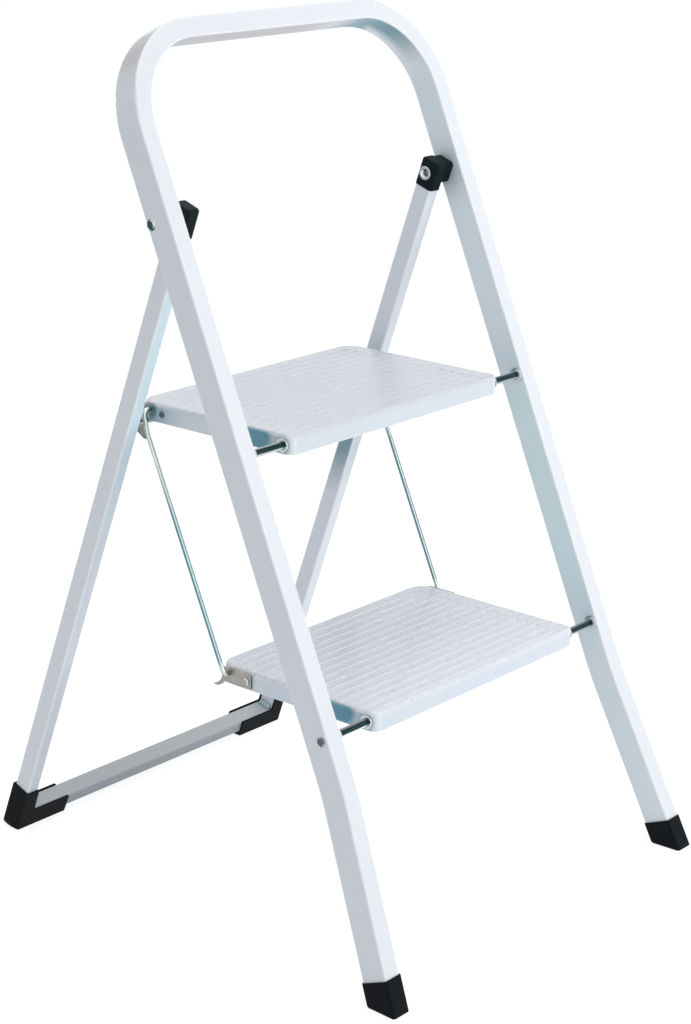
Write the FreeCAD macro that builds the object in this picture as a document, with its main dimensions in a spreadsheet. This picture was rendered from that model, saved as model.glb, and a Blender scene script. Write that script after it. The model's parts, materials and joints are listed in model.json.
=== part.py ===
# Folding two-step stool: a bent front frame, a thinner rear frame hinged to it near the top, and
# two ribbed sheet steps that turn on rods through the front legs. Millimetres.
# X runs from the left leg to the right leg, -Y is the side that is climbed, +Z is up.
# The origin lies on the floor under the middle of the standing stool.
import FreeCAD
import Part
import math
import os
import re
import Sketcher

V = FreeCAD.Vector
X_AXIS = V(1, 0, 0)

# Sizes
SIZES = [
    ("front_lean", 23.0, "lean of the front frame from upright, degrees"),
    ("rear_lean", 20.25, "lean of the rear frame from upright, degrees"),
    ("leg_splay", 5.9, "outward turn of the front legs below their bend, degrees"),
    ("front_wide", 20.0, "front tube, width across the frame"),
    ("front_deep", 30.0, "front tube, depth"),
    ("tube_wall", 1.2, "wall of all tubes"),
    ("tube_round", 2.0, "outer corner radius of all tubes"),
    ("leg_half", 211.8, "front leg centreline from the middle, above the bend"),
    ("frame_top", 930.9, "length of the front frame up its slope, to the top of the grip bar"),
    ("top_bend", 90.0, "centreline radius of the top corners"),
    ("splay_height", 200.0, "height up the slope where the legs bend outward"),
    ("splay_bend", 300.0, "centreline radius of that bend"),
    ("leg_end", 16.0, "cut end of the front tube, up the slope"),
    ("boot_wall", 1.3, "wall of the front boots"),
    ("boot_top", 28.5, "top of the front boots, up the slope"),
    ("boot_under", 10.0, "how far the boot blank starts below the floor line, up the slope"),
    ("boot_round", 3.0, "corner radius of the boots"),
    ("heel_round", 8.0, "reach of the rounding of the boots' rear lower edge"),
    ("heel_arc", 9.6, "its radius, a little flatter than a tangent arc"),
    ("rim_round", 0.8, "small edge rounding of black plastic parts"),
    ("rod_radius", 4.0, "radius of the two step pivot rods"),
    ("rod_ahead", 6.9, "step pivots in front of the front leg's centreline"),
    ("upper_rod_height", 522.4, "upper step pivot, up the slope"),
    ("lower_rod_height", 252.6, "lower step pivot, up the slope"),
    ("rod_inside", 10.0, "upper rod's reach past the leg's inner face"),
    ("rod_chamfer", 0.8, "chamfer of rod ends"),
    ("peen_radius", 5.0, "lower rod's peened head"),
    ("peen_thick", 1.4, "height of that head"),
    ("bush_radius", 5.0, "outer radius of a bush's barrel"),
    ("bush_flange", 6.9, "radius of a bush's flange"),
    ("bush_flange_thick", 2.0, "thickness of that flange"),
    ("bush_tail", 2.0, "barrel's reach past the wall it sits in"),
    ("running_gap", 0.05, "radial clearance of turning fits"),
    ("pivot_height", 748.9, "frame pivot, up the front slope"),
    ("pivot_behind", 9.0, "frame pivot behind the front leg's centreline"),
    ("pivot_on_rear", 1.0, "frame pivot behind the rear leg's centreline"),
    ("rivet_radius", 4.0, "shank of the frame rivets"),
    ("rivet_head", 5.5, "outer head radius of the frame rivets"),
    ("rivet_head_thick", 1.6, "outer head height"),
    ("rivet_bore", 3.2, "hollow end of the frame rivets, bore radius"),
    ("rivet_bore_deep", 4.0, "depth of that bore"),
    ("eyelet_radius", 7.2, "rolled flange radius of the hollow end"),
    ("eyelet_mouth", 4.9, "mouth radius of the hollow end"),
    ("eyelet_thick", 1.2, "rolled flange thickness"),
    ("slide_gap", 0.3, "side clearance between moving pieces"),
    ("rear_wide", 15.0, "rear tube, width across the frame"),
    ("rear_deep", 20.0, "rear tube, depth"),
    ("rear_taper", 0.019, "narrowing of the rear frame per length, each side"),
    ("rear_leg_end", 8.5, "cut end of the rear tube, up its slope"),
    ("bar_low", 9.5, "underside of the cross bar, up the rear slope"),
    ("bar_high", 15.0, "height of the cross bar"),
    ("bar_gap", 0.25, "gap between the bar's ends and the legs, closed by the welds"),
    ("weld_size", 5.0, "leg length of the weld beads"),
    ("cap_wall", 1.2, "wall of the rear top caps"),
    ("cap_over", 15.0, "cap's reach above the pivot"),
    ("cap_under", 15.5, "cap's reach below the pivot"),
    ("cap_round", 4.0, "edge rounding of the caps"),
    ("spacer_over", 13.5, "spacer block's reach above the pivot"),
    ("spacer_under", 9.5, "spacer block's reach below the pivot"),
    ("spacer_deep", 22.0, "depth of the spacer block"),
    ("spacer_wide", 10.9, "gap between the two frames' faces that the block fills"),
    ("foot_wall", 1.8, "wall of the rear feet"),
    ("foot_up", 52.5, "top of the rear feet's sleeves, up the rear slope"),
    ("foot_arm", 66.3, "length of the rear feet's arms along the bar"),
    ("cheek_top", 25.0, "top of the arms' cheeks, up the rear slope"),
    ("foot_under", 6.0, "how far the foot's blank starts below the floor line"),
    ("foot_round", 10.0, "rounding of the feet's outer lower corner"),
    ("cheek_round", 1.5, "rounding of the arm's end corners"),
    ("arm_slant", 2.5, "lean of the arm's end face"),
    ("latch_radius", 3.0, "radius of the latch rod"),
    ("latch_behind", 5.5, "latch rod behind the rear leg's centreline"),
    ("latch_drop", 12.0, "latch rod below the upper step's pivot"),
    ("latch_inside", 8.0, "latch rod's reach into the rear legs"),
    ("tread_front", 11.0, "step's front edge ahead of its pivot"),
    ("tread_tail", 6.5, "step's rear edge behind the latch rod's line"),
    ("tread_rise", 10.2, "step's top above its pivot"),
    ("tread_drop", 8.8, "skirt's lower edge below the pivot"),
    ("sheet", 1.2, "thickness of the pressed sheet"),
    ("tread_edge", 3.5, "rounding of the step's top edge"),
    ("tread_front_round", 10.0, "plan radius of the front corners"),
    ("tread_rear_round", 20.0, "plan radius of the rear corners"),
    ("groove_first", 6.5, "first groove behind the front edge"),
    ("groove_last", 17.4, "last groove ahead of the rear edge"),
    ("groove_count", 15.0, "number of grooves"),
    ("groove_margin", 22.0, "from a groove's end to the step's side"),
    ("groove_wide", 4.0, "width of a groove"),
    ("groove_deep", 0.8, "depth of a groove"),
    ("relief_ahead", 6.7, "corner relief for the hook plates, ahead of the latch rod's line"),
    ("relief_behind", 4.6, "and behind it"),
    ("relief_top", 6.6, "its top above the pivot"),
    ("link_ahead", 11.0, "link rod's pivots ahead of the latch rod's line"),
    ("link_rise", 3.0, "and above the step pivots"),
    ("link_radius", 2.25, "radius of the link rods"),
    ("link_room", 12.2, "from a link rod's centreline to the rear leg, at the latch rod"),
    ("link_side", 9.0, "from a link rod's centreline to the step's side"),
    ("link_kink", 4.0, "how far the link rods stand back below their upper ends"),
    ("link_neck", 24.0, "length of the slanted upper ends of the link rods"),
    ("kink_bend", 14.0, "centreline radius of that bend"),
    ("link_bend", 5.0, "centreline radius of the link rods' end bends"),
    ("link_tail", 3.6, "link rod's reach past the plate it holds"),
    ("link_hole_gap", 0.3, "radial clearance of the link rod's lower ends"),
    ("link_pass_gap", 0.7, "radial clearance where the rod only passes a skirt"),
    ("retainer_radius", 4.6, "outer radius of the push-on retainers"),
    ("retainer_thick", 1.2, "thickness of the retainers"),
    ("plate", 2.0, "thickness of brackets and hook plates"),
    ("hook_inset", 3.8, "hook plate's distance inside the skirt, bridged by its boss"),
    ("hook_rivet_ahead", 27.4, "hook plate's rivet ahead of the latch rod"),
    ("hook_boss", 6.5, "radius of that boss"),
    ("hook_gap", 0.6, "clearance between hook plate and latch rod"),
    ("hook_reach", 37.0, "hook plate's front edge ahead of the latch rod"),
    ("hook_rise", 6.2, "hook plate's top above the pivot"),
    ("hook_low", 6.2, "hook plate's front part below the pivot"),
    ("hook_neck", 5.0, "width of the hook plate's neck behind the latch rod"),
    ("claw_ahead", 3.6, "claw's lower front corner ahead of the latch rod"),
    ("claw_low", 31.0, "claw's lowest edge below the pivot"),
    ("claw_behind", 13.0, "claw's rear edge behind the latch rod"),
    ("claw_rear_low", 25.5, "claw's rear corner below the pivot"),
    ("corner_round", 2.5, "outline corner radius of plates"),
    ("bracket_reach", 40.0, "lower bracket's front edge ahead of the latch rod's line"),
    ("bracket_tail", 4.0, "its rear edge ahead of that line"),
    ("bracket_rise", 9.0, "lower bracket's top above the pivot"),
    ("bracket_drop", 7.4, "lower bracket's underside below the pivot"),
    ("bracket_rivet_ahead", 33.4, "its rivet ahead of that line"),
    ("lug_behind", 10.5, "rear lug's tip behind that line"),
    ("lug_drop", 14.0, "rear lug's tip below the pivot"),
    ("small_rivet", 2.5, "shank radius of the plate rivets"),
    ("bracket_head", 4.2, "head radius of the lower brackets' rivets"),
    ("hook_head", 3.2, "head radius of the hook plates' rivets"),
    ("small_head_thick", 1.5, "head height of the plate rivets"),
    ("small_tail", 1.0, "height of the rivets' closed ends"),
    ("cut_over", 40.0, "overrun of through cuts"),
]

doc = FreeCAD.newDocument("step_stool")
sheet = doc.addObject("Spreadsheet::Sheet", "Size")
for row, (alias, number, meaning) in enumerate(SIZES, start=1):
    sheet.set("A%d" % row, meaning)
    sheet.set("B%d" % row, str(number))
    sheet.setAlias("B%d" % row, alias)
doc.recompute()
S = {alias: number for alias, number, meaning in SIZES}


def bound(text):
    """Point every size named in an expression at the sheet."""
    return re.sub(r"\b([a-z][a-z_]*)\b(?!\()", r"Size.\1", str(text))


def worth(text):
    """Present value of such an expression."""
    return float(sheet.evalExpression(bound(text)))


# Frames of the assembly
lean = math.radians(S["front_lean"])
rear = math.radians(S["rear_lean"])


def on_front(height, ahead):
    """Point of the front frame's plane: up the slope, and ahead of its centreline."""
    return V(0, height * math.sin(lean) - ahead * math.cos(lean),
             height * math.cos(lean) + ahead * math.sin(lean))


UPPER_PIVOT = on_front(S["upper_rod_height"], S["rod_ahead"])
LOWER_PIVOT = on_front(S["lower_rod_height"], S["rod_ahead"])
FRAME_PIVOT = on_front(S["pivot_height"], -S["pivot_behind"])
# The pivot's height up the rear slope follows from its height over the floor.
REAR_PIVOT = (FRAME_PIVOT.z - S["pivot_on_rear"] * math.sin(rear)) / math.cos(rear)
REAR_BASE = FRAME_PIVOT.y + REAR_PIVOT * math.sin(rear) - S["pivot_on_rear"] * math.cos(rear)
# The latch rod lies on the rear legs just under the upper step, and sets how deep the steps are.
LATCH_UP = (UPPER_PIVOT.z - S["latch_drop"] - S["latch_behind"] * math.sin(rear)) / math.cos(rear)
LATCH_BACK = (REAR_BASE - LATCH_UP * math.sin(rear) + S["latch_behind"] * math.cos(rear)
              - UPPER_PIVOT.y)
TREAD_BACK = LATCH_BACK + S["tread_tail"]
GROOVE_RUN = TREAD_BACK + S["tread_front"] - S["groove_first"] - S["groove_last"]

# Across the stool every piece takes its place from the one outside it, starting at the front legs.
REAR_HALF = (S["leg_half"] - S["front_wide"] / 2 - S["slide_gap"] - S["spacer_wide"]
             - S["cap_wall"] + S["rear_taper"] * REAR_PIVOT)
LINK_OUT = REAR_HALF - S["rear_taper"] * LATCH_UP - S["rear_wide"] - S["link_room"]
TREAD_HALF = LINK_OUT - S["link_side"]

# Places worked out from the sizes above, kept with them.
WORKED_OUT = [
    ("pivot_up", REAR_PIVOT),
    ("latch_up", LATCH_UP),
    ("latch_back", LATCH_BACK),
    ("tread_back", TREAD_BACK),
    ("groove_pitch", GROOVE_RUN / (S["groove_count"] - 1)),
    ("relief_start", LATCH_BACK - S["relief_ahead"]),
    ("relief_end", LATCH_BACK + S["relief_behind"]),
    ("link_back", LATCH_BACK - S["link_ahead"]),
    ("hook_front", LATCH_BACK - S["hook_reach"]),
    ("hook_rivet_back", LATCH_BACK - S["hook_rivet_ahead"]),
    ("claw_front", LATCH_BACK - S["claw_ahead"]),
    ("claw_back", LATCH_BACK + S["claw_behind"]),
    ("bracket_front", LATCH_BACK - S["bracket_reach"]),
    ("bracket_back", LATCH_BACK - S["bracket_tail"]),
    ("bracket_rivet_back", LATCH_BACK - S["bracket_rivet_ahead"]),
    ("lug_back", LATCH_BACK + S["lug_behind"]),
    ("rear_half", REAR_HALF),
    ("link_out", LINK_OUT),
    ("tread_half", TREAD_HALF),
    ("groove_half", TREAD_HALF - S["groove_margin"]),
    ("foot_inner", REAR_HALF - S["foot_arm"]),
]
for row, (alias, number) in enumerate(WORKED_OUT, start=len(SIZES) + 1):
    sheet.set("B%d" % row, repr(number))
    sheet.setAlias("B%d" % row, alias)
doc.recompute()

FRONT = FreeCAD.Placement(V(0, 0, 0), FreeCAD.Rotation(X_AXIS, -S["front_lean"]))
REAR = FreeCAD.Placement(V(0, REAR_BASE, 0), FreeCAD.Rotation(X_AXIS, S["rear_lean"]))
UPPER = FreeCAD.Placement(UPPER_PIVOT, FreeCAD.Rotation())
LOWER = FreeCAD.Placement(LOWER_PIVOT, FreeCAD.Rotation())

# Expressions used by several pieces
LEG_IN = "leg_half - front_wide / 2"
LEG_OUT = "leg_half + front_wide / 2"
BEND_CUT = "splay_bend * tan(leg_splay / 2)"
REAR_PIVOT_OUT = "rear_half - rear_taper * pivot_up"
LATCH_LEG_IN = "rear_half - rear_taper * latch_up - rear_wide"

bodies = []
parts = []


def new_body(label, placement):
    body = doc.addObject("PartDesign::Body", label)
    body.Label = label
    body.Placement = placement
    bodies.append(body)
    return body


def origin_plane(body, role):
    return [item for item in body.Origin.OriginFeatures if item.Role == role][0]


def new_sketch(body, role, name, lift=None):
    """Sketch on one of the body's planes, moved along the plane's normal by lift."""
    sketch = body.newObject("Sketcher::SketchObject", name)
    sketch.AttachmentSupport = [(origin_plane(body, role), "")]
    sketch.MapMode = "FlatFace"
    if lift is not None:
        sketch.setExpression("AttachmentOffset.Base.z", bound(lift))
    return sketch


def bind_point(sketch, geometry, end, place):
    """Hold one point at a place given by two expressions."""
    for axis, text, mirror in (("DistanceX", place[0], -2), ("DistanceY", place[1], -1)):
        if text == "0":
            sketch.addConstraint(Sketcher.Constraint("PointOnObject", geometry, end, mirror))
            continue
        number = sketch.addConstraint(
            Sketcher.Constraint(axis, -1, 1, geometry, end, worth(text)))
        sketch.setExpression("Constraints[%d]" % number, bound(text))


def outline(sketch, places, arcs=None, closed=True):
    """Lines through the places; arcs maps an edge's number to (radius, side), where side 1
    turns left along the edge and side -1 turns right."""
    arcs = arcs or {}
    first = sketch.GeometryCount
    points = [V(worth(x), worth(y), 0) for x, y in places]
    count = len(points) if closed else len(points) - 1
    ends = []
    for edge in range(count):
        start = points[edge]
        stop = points[(edge + 1) % len(points)]
        if edge not in arcs:
            sketch.addGeometry(Part.LineSegment(start, stop))
            ends.append((1, 2))
            continue
        radius, side = arcs[edge]
        chord = stop - start
        reach = math.sqrt(max(worth(radius) ** 2 - chord.Length ** 2 / 4, 0))
        across = V(-chord.y, chord.x, 0).normalize()
        centre = (start + stop) * 0.5 + across * reach * side
        circle = Part.Circle(centre, V(0, 0, 1), worth(radius))
        turn_start = math.atan2(start.y - centre.y, start.x - centre.x)
        turn_stop = math.atan2(stop.y - centre.y, stop.x - centre.x)
        if side > 0:
            sketch.addGeometry(Part.ArcOfCircle(circle, turn_start, turn_stop))
            ends.append((1, 2))
        else:
            sketch.addGeometry(Part.ArcOfCircle(circle, turn_stop, turn_start))
            ends.append((2, 1))
    joins = count if closed else count - 1
    for edge in range(joins):
        following = (edge + 1) % count
        sketch.addConstraint(Sketcher.Constraint("Coincident", first + edge, ends[edge][1],
                                                 first + following, ends[following][0]))
    for edge in range(count):
        bind_point(sketch, first + edge, ends[edge][0], places[edge])
    if not closed:
        bind_point(sketch, first + count - 1, ends[-1][1], places[-1])
    for edge, (radius, side) in arcs.items():
        number = sketch.addConstraint(
            Sketcher.Constraint("Radius", first + edge, worth(radius)))
        sketch.setExpression("Constraints[%d]" % number, bound(radius))


def rounded_box(sketch, low, high, corners):
    """Rectangle from low to high; corners holds the radii from low-low, anticlockwise."""
    (x0, y0), (x1, y1) = low, high
    a, b, c, d = corners
    places = [("%s + %s" % (x0, a), y0), ("%s - %s" % (x1, b), y0),
              (x1, "%s + %s" % (y0, b)), (x1, "%s - %s" % (y1, c)),
              ("%s - %s" % (x1, c), y1), ("%s + %s" % (x0, d), y1),
              (x0, "%s - %s" % (y1, d)), (x0, "%s + %s" % (y0, a))]
    outline(sketch, places, {1: (b, 1), 3: (c, 1), 5: (d, 1), 7: (a, 1)})


def circle(sketch, place, radius):
    number = sketch.addGeometry(Part.Circle(V(worth(place[0]), worth(place[1]), 0), V(0, 0, 1),
                                            worth(radius)))
    bind_point(sketch, number, 3, place)
    size = sketch.addConstraint(Sketcher.Constraint("Radius", number, worth(radius)))
    sketch.setExpression("Constraints[%d]" % size, bound(radius))


def pad(body, sketch, length, middle=False, back=False, along=None):
    feature = body.newObject("PartDesign::Pad", "Pad_" + sketch.Name)
    feature.Profile = sketch
    feature.Midplane = middle
    feature.Reversed = back
    if along is not None:
        feature.UseCustomVector = True
        feature.Direction = along
        feature.AlongSketchNormal = True
    feature.setExpression("Length", bound(length))
    body.Tip = feature
    return feature


def pocket(body, sketch, length, middle=False, back=False, along=None):
    """Cut against the sketch's normal, or along it with back, and check that it cut."""
    before = body.Tip
    doc.recompute()
    volume = before.Shape.Volume
    feature = body.newObject("PartDesign::Pocket", "Cut_" + sketch.Name)
    feature.Profile = sketch
    feature.Midplane = middle
    feature.Reversed = back
    if along is not None:
        feature.UseCustomVector = True
        feature.Direction = along
        feature.AlongSketchNormal = True
    feature.setExpression("Length", bound(length))
    body.Tip = feature
    doc.recompute()
    if feature.Shape.isNull() or not feature.Shape.Volume < volume:
        raise RuntimeError("%s removed nothing" % feature.Label)
    return feature


def spin(body, sketch):
    """Turn a profile about the sketch's horizontal axis."""
    feature = body.newObject("PartDesign::Revolution", "Spin_" + sketch.Name)
    feature.Profile = sketch
    feature.ReferenceAxis = (sketch, ["H_Axis"])
    feature.Angle = 360
    body.Tip = feature
    return feature


def soften(body, kind, size, wanted):
    """Fillet or chamfer the edges of the body that wanted() picks."""
    doc.recompute()
    base = body.Tip
    names = ["Edge%d" % (number + 1) for number, edge in enumerate(base.Shape.Edges)
             if wanted(edge)]
    feature = body.newObject("PartDesign::" + kind, kind + "_" + base.Name)
    feature.Base = (base, names)
    feature.setExpression("Radius" if kind == "Fillet" else "Size", bound(size))
    body.Tip = feature
    return feature


def level(edge, axis, value):
    """True for an edge that lies in one plane across an axis."""
    box = edge.BoundBox
    low = getattr(box, axis + "Min")
    high = getattr(box, axis + "Max")
    return abs(low - value) < NEAR and abs(high - value) < NEAR


NEAR = 1e-3


def mirrored(source, label):
    twin = doc.addObject("Part::Mirroring", label)
    twin.Label = label
    twin.Source = source
    twin.Normal = X_AXIS
    return twin


def group(label, members):
    node = doc.addObject("Part::Compound", label)
    node.Label = label
    node.Links = members
    return node


def keep(*nodes):
    parts.extend(nodes)


def tube_profile(sketch, middle, wide, deep, turned=False):
    """Outer and inner outline of a rectangular tube about a middle point."""
    x, y = middle
    a, b = (deep, wide) if turned else (wide, deep)
    for inset, radius in (("0", "tube_round"), ("tube_wall", "(tube_round - tube_wall)")):
        low = ("%s - %s / 2 + %s" % (x, a, inset), "%s - %s / 2 + %s" % (y, b, inset))
        high = ("%s + %s / 2 - %s" % (x, a, inset), "%s + %s / 2 - %s" % (y, b, inset))
        rounded_box(sketch, low, high, [radius] * 4)


# Front frame: half of the tube is swept from the middle of the grip bar, then mirrored.
frame = new_body("front_frame", FRONT)
path = new_sketch(frame, "XZ_Plane", "Frame_path")
bar_line = "(frame_top - front_wide / 2)"
outline(path, [
    ("0", bar_line),
    ("leg_half - top_bend", bar_line),
    ("leg_half", bar_line + " - top_bend"),
    ("leg_half", "splay_height + " + BEND_CUT),
    ("leg_half + %s * sin(leg_splay)" % BEND_CUT, "splay_height - %s * cos(leg_splay)" % BEND_CUT),
    ("leg_half + (splay_height - leg_end) * tan(leg_splay)", "leg_end"),
], {1: ("top_bend", -1), 3: ("splay_bend", 1)}, closed=False)
section = new_sketch(frame, "YZ_Plane", "Frame_section")
tube_profile(section, ("0", bar_line), "front_wide", "front_deep", turned=True)
sweep = frame.newObject("PartDesign::AdditivePipe", "Frame_half")
sweep.Profile = section
sweep.Spine = (path, ["Edge%d" % (n + 1) for n in range(5)])
frame.Tip = sweep
whole = frame.newObject("PartDesign::Mirrored", "Frame_both")
whole.Originals = [sweep]
whole.MirrorPlane = (origin_plane(frame, "YZ_Plane"), [""])
frame.Tip = whole
rod_seats = new_sketch(frame, "YZ_Plane", "Rod_seats")
for height in ("upper_rod_height", "lower_rod_height"):
    circle(rod_seats, ("-rod_ahead", height), "bush_radius")
pocket(frame, rod_seats, "2 * leg_half", middle=True)
peened = new_sketch(frame, "YZ_Plane", "Peened_rod_holes")
circle(peened, ("-rod_ahead", "lower_rod_height"), "rod_radius")
pocket(frame, peened, "2 * leg_half + cut_over", middle=True)
pivots = new_sketch(frame, "YZ_Plane", "Frame_pivot_holes")
circle(pivots, ("pivot_behind", "pivot_height"), "rivet_radius")
pocket(frame, pivots, "2 * leg_half + cut_over", middle=True)
keep(frame)

# Front boots: a leaning block along the splayed leg, hollow for the tube, cut level at the floor.
boot = new_body("front_foot_right", FRONT)
LEG_LEAN = V(-math.tan(math.radians(S["leg_splay"])), 0, 1)
splayed = "leg_half + (splay_height - (%s)) * tan(leg_splay)"
blank = new_sketch(boot, "XY_Plane", "Boot_blank", "-boot_under")
middle = splayed % "-boot_under"
half = "(front_wide / cos(leg_splay) / 2 + boot_wall)"
rounded_box(blank, ("%s - %s" % (middle, half), "-front_deep / 2 - boot_wall"),
            ("%s + %s" % (middle, half), "front_deep / 2 + boot_wall"), ["boot_round"] * 4)
pad(boot, blank, "boot_under + boot_top", along=LEG_LEAN)
seat = "leg_end - front_wide * sin(leg_splay)"
socket = new_sketch(boot, "XY_Plane", "Boot_socket", seat)
middle = splayed % seat
half = "front_wide / cos(leg_splay) / 2"
rounded_box(socket, ("%s - %s" % (middle, half), "-front_deep / 2"),
            ("%s + %s" % (middle, half), "front_deep / 2"), ["tube_round"] * 4)
pocket(boot, socket, "boot_top", along=LEG_LEAN)
floor = new_sketch(boot, "YZ_Plane", "Boot_floor")
heel = "(front_deep / 2 + boot_wall)"
reach = "heel_round * tan(45 - front_lean / 2)"
outline(floor, [
    ("-cut_over", "-cut_over * tan(front_lean)"),
    ("-cut_over", "-2 * cut_over"),
    ("cut_over", "-2 * cut_over"),
    ("cut_over", "%s * tan(front_lean) + %s" % (heel, reach)),
    (heel, "%s * tan(front_lean) + %s" % (heel, reach)),
    ("%s - %s * cos(front_lean)" % (heel, reach),
     "(%s - %s * cos(front_lean)) * tan(front_lean)" % (heel, reach)),
], {4: ("heel_arc", -1)})
pocket(boot, floor, "2 * (leg_half + cut_over + splay_height)", middle=True)
heel_line = worth("%s - %s * cos(front_lean)" % (heel, reach))


def on_floor(edge):
    """True for an edge of the boot's sole, apart from the line where the heel starts to rise."""
    places = [edge.valueAt(edge.FirstParameter), edge.valueAt(edge.LastParameter)]
    flat = all(abs(place.z - place.y * math.tan(lean)) < NEAR for place in places)
    return flat and not all(abs(place.y - heel_line) < NEAR for place in places)


soften(boot, "Fillet", "rim_round", on_floor)
boot_left = mirrored(boot, "front_foot_left")
keep(boot, boot_left)

# Step pivot rods and the bushes that carry them in the front legs.
upper_rod = new_body("upper_pivot_rod", UPPER)
sketch = new_sketch(upper_rod, "YZ_Plane", "Upper_rod")
circle(sketch, ("0", "0"), "rod_radius")
pad(upper_rod, sketch, "2 * (%s + rod_inside)" % LEG_IN, middle=True)
soften(upper_rod, "Chamfer", "rod_chamfer", lambda edge: abs(edge.BoundBox.XLength) < NEAR)
keep(upper_rod)

lower_rod = new_body("lower_pivot_rod", LOWER)
sketch = new_sketch(lower_rod, "XZ_Plane", "Lower_rod")
face = "(%s)" % LEG_OUT
outline(sketch, [
    ("-%s - peen_thick" % face, "0"),
    ("%s + peen_thick" % face, "0"),
    ("%s + peen_thick" % face, "peen_radius - peen_thick"),
    ("%s" % face, "peen_radius"),
    ("%s" % face, "rod_radius"),
    ("-%s" % face, "rod_radius"),
    ("-%s" % face, "peen_radius"),
    ("-%s - peen_thick" % face, "peen_radius - peen_thick"),
])
spin(lower_rod, sketch)
keep(lower_rod)


def bush(label, placement, face, into, inner):
    """Flanged bush: its flange lies on a face and its barrel runs through the wall behind it.
    into is 1 where the wall lies outward of the face and -1 where it lies inward."""
    body = new_body(label, placement)
    profile = new_sketch(body, "XZ_Plane", label + "_profile")
    sign = "+" if into > 0 else "-"
    back = "-" if into > 0 else "+"
    wall = "tube_wall" if into > 0 else "sheet"
    places = [
        ("%s %s bush_flange_thick" % (face, back), inner),
        ("%s %s (%s + bush_tail)" % (face, sign, wall), inner),
        ("%s %s (%s + bush_tail)" % (face, sign, wall), "bush_radius"),
        (face, "bush_radius"),
        (face, "bush_flange - rod_chamfer / 2"),
        ("%s %s rod_chamfer / 2" % (face, back), "bush_flange"),
        ("%s %s (bush_flange_thick - rod_chamfer / 2)" % (face, back), "bush_flange"),
        ("%s %s bush_flange_thick" % (face, back), "bush_flange - rod_chamfer / 2"),
    ]
    outline(profile, places)
    spin(body, profile)
    return body


leg_bush_set = []
for level_name, placement in (("upper", UPPER), ("lower", LOWER)):
    right = bush("leg_bush_" + level_name, placement, "(%s)" % LEG_IN, 1, "rod_radius")
    leg_bush_set += [right, mirrored(right, "leg_bush_%s_twin" % level_name)]
keep(group("leg_bushes", leg_bush_set))

# Frame rivets: solid head outside the front leg, hollow rolled end inside the rear cap.
rivet = new_body("pivot_rivet_right", FreeCAD.Placement(FRAME_PIVOT, FreeCAD.Rotation()))
sketch = new_sketch(rivet, "XZ_Plane", "Frame_rivet")
cap_face = "(%s - rear_wide - cap_wall - slide_gap)" % REAR_PIVOT_OUT
outline(sketch, [
    ("%s + rivet_head_thick" % face, "0"),
    ("%s + rivet_head_thick" % face, "rivet_head - rivet_head_thick"),
    (face, "rivet_head"),
    (face, "rivet_radius"),
    (cap_face, "rivet_radius"),
    (cap_face, "eyelet_radius - eyelet_thick / 3"),
    ("%s - eyelet_thick / 3" % cap_face, "eyelet_radius"),
    ("%s - eyelet_thick * 2 / 3" % cap_face, "eyelet_radius"),
    ("%s - eyelet_thick" % cap_face, "eyelet_radius - eyelet_thick / 3"),
    ("%s - eyelet_thick" % cap_face, "eyelet_mouth"),
    ("%s - eyelet_thick / 2" % cap_face, "(eyelet_mouth + rivet_bore) / 2"),
    ("%s + eyelet_thick / 2" % cap_face, "rivet_bore"),
    ("%s + rivet_bore_deep" % cap_face, "rivet_bore"),
    ("%s + rivet_bore_deep" % cap_face, "0"),
])
spin(rivet, sketch)
keep(rivet, mirrored(rivet, "pivot_rivet_left"))

# Rear legs: tubes that close in slightly towards the top.
REAR_SLOPE = V(-S["rear_taper"], 0, 1)
leg_top = "(pivot_up + cap_over - cap_wall)"
leg = new_body("rear_leg_right", REAR)
sketch = new_sketch(leg, "XY_Plane", "Rear_leg", "rear_leg_end")
tube_profile(sketch, ("rear_half - rear_taper * rear_leg_end - rear_wide / 2", "0"),
             "rear_wide", "rear_deep")
pad(leg, sketch, leg_top + " - rear_leg_end", along=REAR_SLOPE)
sketch = new_sketch(leg, "YZ_Plane", "Leg_pivot_hole")
circle(sketch, ("pivot_on_rear", "pivot_up"), "rivet_radius + running_gap")
pocket(leg, sketch, "2 * (rear_half + cut_over)", middle=True)
sketch = new_sketch(leg, "YZ_Plane", "Latch_hole")
circle(sketch, ("latch_behind", "latch_up"), "latch_radius")
pocket(leg, sketch, "2 * (%s + rear_wide / 2)" % LATCH_LEG_IN, middle=True)
keep(leg, mirrored(leg, "rear_leg_left"))

# Cross bar between the rear legs, with its welds.
bar_half = "(rear_half - rear_taper * (bar_low + bar_high) - rear_wide - bar_gap)"
bar = new_body("rear_crossbar", REAR)
sketch = new_sketch(bar, "YZ_Plane", "Cross_bar")
tube_profile(sketch, ("0", "(bar_low + bar_high / 2)"), "bar_high", "rear_deep", turned=True)
pad(bar, sketch, "2 * " + bar_half, middle=True)
keep(bar)

weld = new_body("weld_bead", REAR)
sketch = new_sketch(weld, "XZ_Plane", "Weld_bead")
corner_x = "(rear_half - rear_taper * (bar_low + bar_high + weld_size) - rear_wide)"
corner_z = "(bar_low + bar_high)"
outline(sketch, [
    (corner_x, corner_z),
    (corner_x, corner_z + " + weld_size"),
    (corner_x + " - weld_size", corner_z),
], {1: ("weld_size", 1)})
pad(weld, sketch, "rear_deep - 2 * tube_round", middle=True)
keep(group("rear_weld_beads", [weld, mirrored(weld, "weld_bead_twin")]))

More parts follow.
